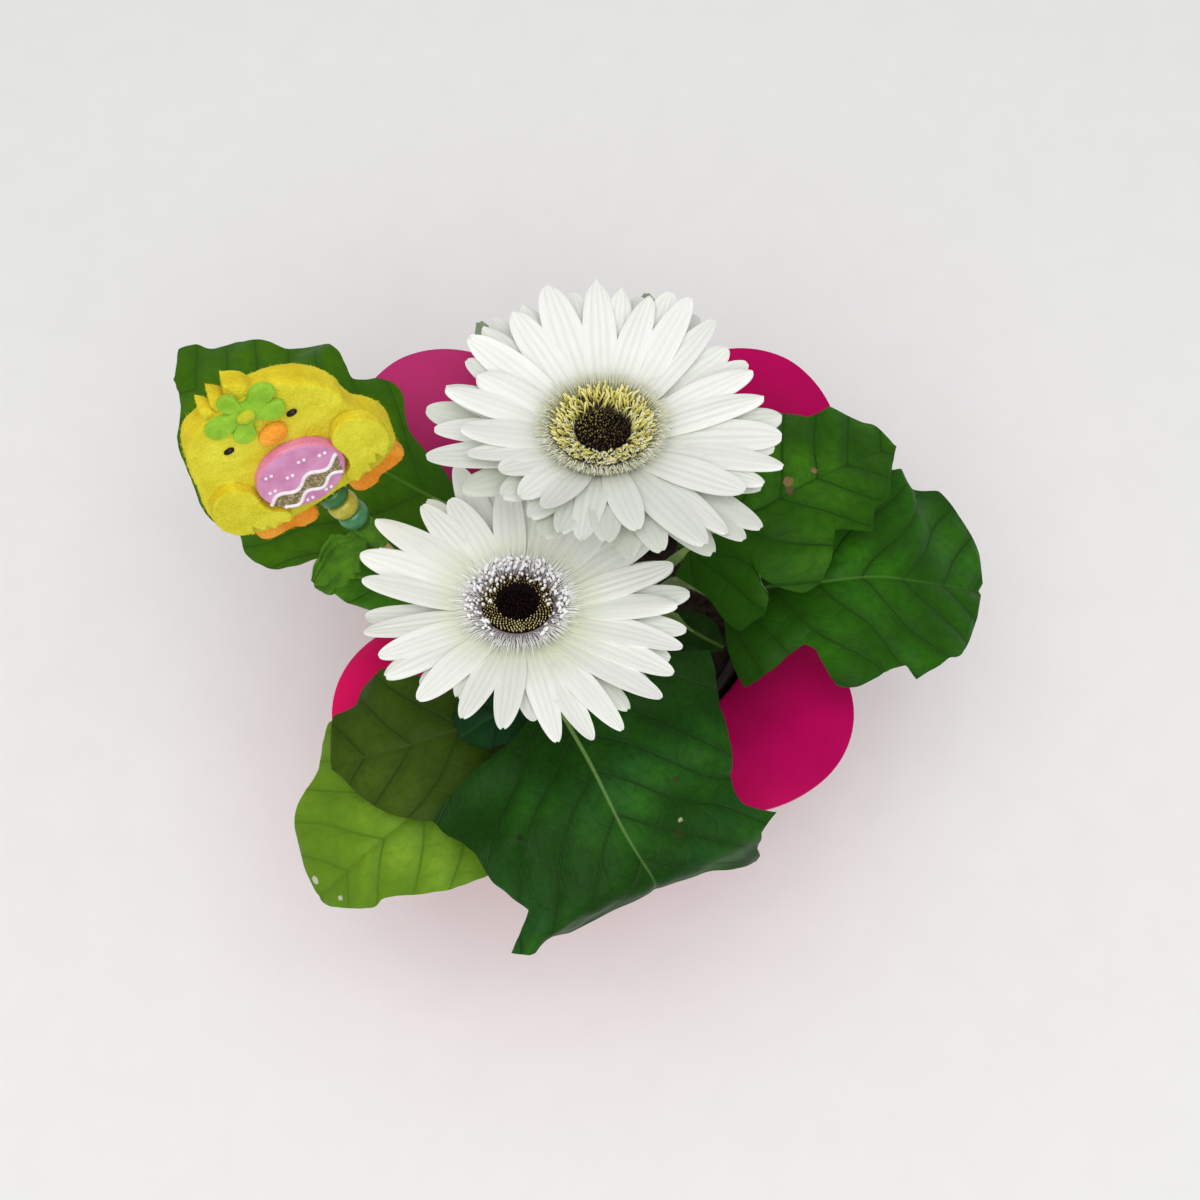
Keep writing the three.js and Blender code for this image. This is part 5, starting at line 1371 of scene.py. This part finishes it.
# The eyes are small domes of black resin, hard and a little scuffed.
black_resin = mottled("black_resin", (2, 2), [(0.4, "#080303"), (0.7, "#140907")],
                      Roughness=0.3, Specular_IOR_Level=0.3)
for side, sign in (("right", 1), ("left", -1)):
    middle = np.multiply(eye_middle, (sign, 1))
    dome = foam_slab(oval(*middle, *eye_size), middle, back=0.3, front=1.1, soft=0.35,
                     crown=0.45, lump=0, steps=3)
    eye = make_piece(f"chick_resin_eye_{side}", [dome], [black_resin])
    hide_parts(f"chick_eye_{side}")

# ---- chick pick: egg ----------------------------------------------------------------------
# The chick holds a flat foam egg. Its face is a printed mauve film with a band of gold glitter
# between two wavy lines, and dots of raised white paint.

egg_centre = np.array([0.5, 16.8])
egg_width, egg_height, egg_face = 25.0, 21.4, 4.4


def band_line(level, swing, length, shift, reach):
    """A wavy line across the egg: it climbs by a tenth of its length, with a sine on it."""
    x = egg_centre[0] + reach * np.linspace(-1, 1, 60)
    y = level + 0.1 * x + swing * np.sin(2 * np.pi * (x + shift) / length)
    return np.stack([x, y, np.full_like(x, egg_face + 0.15)], axis=1)


upper_line = band_line(level=15.2, swing=1.3, length=10.5, shift=0.4, reach=12.0)
lower_line = band_line(level=10.4, swing=1.1, length=8.6, shift=3.4, reach=9.8)
across_band = np.linspace(0, 1, 12)[:, None, None]
band = lower_line * (1 - across_band) + upper_line * across_band
dash, aside = np.array([0.5, 0.1, 0]), np.array([0.8, -0.1, 0])
dots = np.array([[-6.3, 23.1], [3.7, 22.0], [9.4, 20.2], [-8.6, 17.6], [-1.8, 19.2], [-2.2, 8.2],
                 [3.8, 8.0]])
dots = np.column_stack([dots, np.full(len(dots), egg_face + 0.05)])
dots = np.concatenate([dots - aside, dots + aside])
dots = dots[:, None] + np.linspace(-1, 1, 7)[None, :, None] * dash
foam_oval, film_oval = (oval(*egg_centre, egg_width + more, egg_height + more, 20)
                        for more in (0.6, 0))
egg_parts = [
    foam_slab(foam_oval, egg_centre, back=0.2, front=egg_face - 0.2, soft=0.8, lump=0.1, seed=40),
    foam_slab(film_oval, egg_centre, back=egg_face - 0.6, front=egg_face, soft=0.3, lump=0,
              skins=(1, 1)),
    slabs(place_pick(band + [0, 0, 0.12]), place_pick(band - [0, 0, 0.3]), 2, 2),
    rods(place_pick([upper_line, lower_line]), 0.6, sides=8, skins=3),
    rods(place_pick(dots), [0.2, 0.4, 0.5, 0.54, 0.5, 0.4, 0.2], sides=9, skins=3),
]

pink_flock = flocked("pink_flocked_foam", 0.6, "#E27CA6", "#F2A0C0")
# Printed vinyl film: smooth, with a low sheen over a faintly mottled ink.
printed_film = mottled("printed_vinyl_film", (4.55, 3), [(0.35, "#CC7FAE"), (0.7, "#DE9CC6")],
                       Roughness=0.38, IOR=1.5)
# Glitter: flakes of gilt film in clear glue, drawn 0.5 mm wide. Each lies at its own tilt.
flake_size = 0.5
gilt_glitter, tree, skin = finish("gilt_glitter", Roughness=0.4, Metallic=0.25)
where = node(tree, "TexCoord").outputs["Object"]
flakes = node(tree, "TexVoronoi", {"Vector": where, "Scale": 1000 / flake_size})
tilt = node(tree, "SeparateColor", {0: flakes.outputs["Color"]})
gilt = node(tree, "ValToRGB", {"Fac": tilt},
            [(0.1, "#74643E"), (0.6, "#94825A"), (0.95, "#C4B48E")])
relief = node(tree, "Bump", {"Height": tilt, "Strength": 0.8, "Distance": 0.0003})
connect(tree, skin, {"Base Color": gilt, "Normal": relief})
# Puff paint: white, chalky and raised in small beads.
puff_paint = mottled("white_puff_paint", (1.11, 2), [(0.3, "#E9DDE6"), (0.7, "#FBF6FA")],
                     raised=(0.5, 0.0004), Roughness=0.6)
egg = make_piece("chick_foam_egg", egg_parts, [pink_flock, printed_film, gilt_glitter, puff_paint])
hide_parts("chick_egg")

# ---- chick pick: felt flower and felt leaf ------------------------------------------------
# A flower of five round petals, punched from green wool felt, is glued over the chick's brow
# with a yellow middle. Below the beads a strip of felt is wound round the dowel, and its end
# hangs out as a ruffled leaf with a pinked edge.

flower_middle, dot_middle, dot_size = np.array([1, 44.3]), (1, 44.5), (5.4, 3.8)
flower_petals = [[22, 11.4], [106, 9], [177, 12], [235, 10.4], [329, 10.8]]
petal_side = [[-29, 0.42], [-24, 0.72], [-13, 0.95], [0, 1], [13, 0.95], [24, 0.72], [29, 0.42]]
flower_bearings = [(math.radians(middle + turn), reach * share)
                   for middle, reach in flower_petals for turn, share in petal_side]
flower_outline = [flower_middle + reach * np.array([math.cos(turn), math.sin(turn)])
                  for turn, reach in flower_bearings]


def felt(name, *dyes):
    """Pressed wool felt: matt, with curled fibres, drawn 0.6 mm apart, that catch the light."""
    return fleecy(name, dyes, (0.55, 0.95), (0.625, 3), 0.5, (5, 2), 0.0005, curl=1.5,
                  Roughness=0.95, Sheen_Weight=0.2, Sheen_Roughness=0.5)


light_felt = felt("light_green_felt", "#84B824", "#A2D63A")
leaf_felt = felt("leaf_green_felt", "#386802", "#568C08")
yellow_felt = felt("yellow_green_felt", "#B8BE16", "#D4D830")
slab = foam_slab(flower_outline, flower_middle, back=0.3, front=2.1, soft=0.5, crown=0.25,
                 lump=0.12, seed=50)
flower = make_piece("felt_flower", [slab], [light_felt])
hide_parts("chick_flower")
slab = foam_slab(oval(*dot_middle, *dot_size), dot_middle, back=2.2, front=3.6, soft=0.4,
                 crown=0.3, lump=0.1, seed=55, steps=3)
flower_dot = make_piece("felt_flower_middle", [slab], [yellow_felt])
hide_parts("chick_flower_centre")


def turned(profile, middle_y, sides=48):
    """A body turned about the dowel: a closed profile of radius and height along y."""
    angle = np.linspace(0, 2 * np.pi, sides, endpoint=False)
    upright = ring_rows(angle, [*profile, profile[0]])
    rows = upright[..., [0, 2, 1]] + [0, middle_y, -body_thick / 2]
    return shell(place_pick(rows), grid_faces(len(rows), sides, ring=True))


def ruffled_strip():
    """The strip's free end, which hangs out beside the dowel: i runs out along it and v across.
    Its half width is read from a list and scalloped as a sine. It sinks a little as it runs
    out, sways as sines, and ribs wave across it as a cosine."""
    i, v = np.linspace(0, 9, 60)[:, None], np.linspace(-1, 1, 25)
    half = np.interp(i, np.arange(10), strip_half_widths)
    half = half + 1.1 * np.abs(np.sin(1.9 * i)) * (half > 3)
    x = -2 - 2.3 * i - 0.9 * np.abs(v) * np.sin(i)
    rib = 0.5 * np.cos(4.5 * np.pi * v) * np.clip(i / 3, 0, 1)
    wide = np.where(v < 0, 1, 0.6) * v * half
    y = felt_middle + 0.3 + 0.12 * x + 0.55 * wide - 0.004 * x * x + 0.5 * rib
    z = -body_thick / 2 - 0.85 * wide + 0.8 * np.sin(i) - 0.12 * x + rib
    face = np.stack([x, y, z], axis=-1)
    return slabs(place_pick(face), place_pick(face + [0, -1.3, -0.8]))


felt_middle = -22.8
band_profile = [(1.5, -8), (2.4, -7.8), (2.8, -6), (3.1, -4.2), (3.3, -2.6), (3.15, -1.6),
                (3.35, -0.6), (3.2, 0.6), (3.35, 1.6), (3.2, 2.8), (3.0, 3.4), (1.6, 3.5)]
strip_half_widths = [3, 4, 5.5, 7.5, 8, 8, 7, 6, 4, 1.5]
wound_band = turned(band_profile, felt_middle)
felt_leaf = make_piece("felt_leaf_strip", [wound_band, ruffled_strip()], [leaf_felt])
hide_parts("felt_leaf")

# ---- chick pick: beads and dowel ----------------------------------------------------------
# Three wooden beads are threaded on the dowel under the chick. They are turned from beech and
# dipped in paint, so they shine softly and show a little grain. The dowel is bare birch, sharp
# at its lower end.

bead_radius, bead_shoulder, bead_height, bead_gap, top_bead = 4.6, 2.6, 5.4, 0.3, -3.4
dowel_radius, dowel_length, dowel_in_body, dowel_tip = 1.3, 140, 12, 8
hole = dowel_radius + 0.3
bend = np.radians(np.linspace(-90, 90, 15))
bead_bulge = bead_shoulder + (bead_radius - bead_shoulder) * np.cos(bend) ** 0.7
bead_profile = [(hole, -bead_height / 2), *zip(bead_bulge, bead_height / 2 * np.sin(bend)),
                (hole, bead_height / 2)]
bead_paints = {
    "top": ("bead_dark", "#2A6630", "#377838"),
    "middle": ("bead_yellow", "#AFA62A", "#C6BE40"),
    "bottom": ("bead_light", "#3A7A4A", "#4C8E5A"),
}
for i, (place, (slot, deep, bright)) in enumerate(bead_paints.items()):
    dipped = mottled(f"dipped_beech_{place}", ((1.11, 1.11, 6.67), 3), [(0.35, deep), (0.7, bright)],
                     raised=(0.15, 0.0002), Roughness=0.35, IOR=1.5, Coat_Weight=0.25)
    bead_shell = turned(bead_profile, top_bead - i * (bead_height + bead_gap))
    bead = make_piece(f"wooden_bead_{place}", [bead_shell], [dipped])
    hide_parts(f"bead_{place}")

# Bare birch: pale, dry and straight-grained.
bare_birch = mottled("bare_birch", ((0.667, 0.667, 11.1), 4), [(0.3, "#B89B64"), (0.7, "#D9C38E")],
                     raised=(0.3, 0.0002), Roughness=0.7)
dowel_end = dowel_in_body - dowel_length
down = np.concatenate([np.linspace(dowel_in_body - 0.2, dowel_end + dowel_tip, 24),
                       dowel_end + np.array([5, 2.5, 1, 0.2])])
taper = dowel_radius * np.concatenate([np.ones(24), [0.85, 0.6, 0.35, 0.1]])
dowel_path = np.stack([np.zeros_like(down), down, np.full_like(down, -body_thick / 2)], axis=1)
dowel_shell = rods(place_pick(dowel_path)[None], taper, sides=20)
dowel = make_piece("birch_dowel", [dowel_shell], [bare_birch])
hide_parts("pick_stake")

# ---- light --------------------------------------------------------------------------------
# Plain studio light: a large soft panel overhead and in front, and an even white surround.

world = bpy.data.worlds.new("white_surround")
world.use_nodes = True
surround = world.node_tree.nodes["Background"]
connect(world.node_tree, surround, {"Color": "#FFFFFF", "Strength": 0.54})
bpy.context.scene.world = world
panel_data = bpy.data.lights.new("overhead_panel", "AREA")
panel_data.shape = "SQUARE"
panel_data.size, panel_data.energy = 1.1, 10.6
panel = bpy.data.objects.new("overhead_panel", panel_data)
panel.location = (0.0, -0.5, 1.35)
aim = Vector((0, 0, 0.15)) - panel.location
panel.rotation_euler = aim.to_track_quat("-Z", "Y").to_euler()
bpy.context.collection.objects.link(panel)
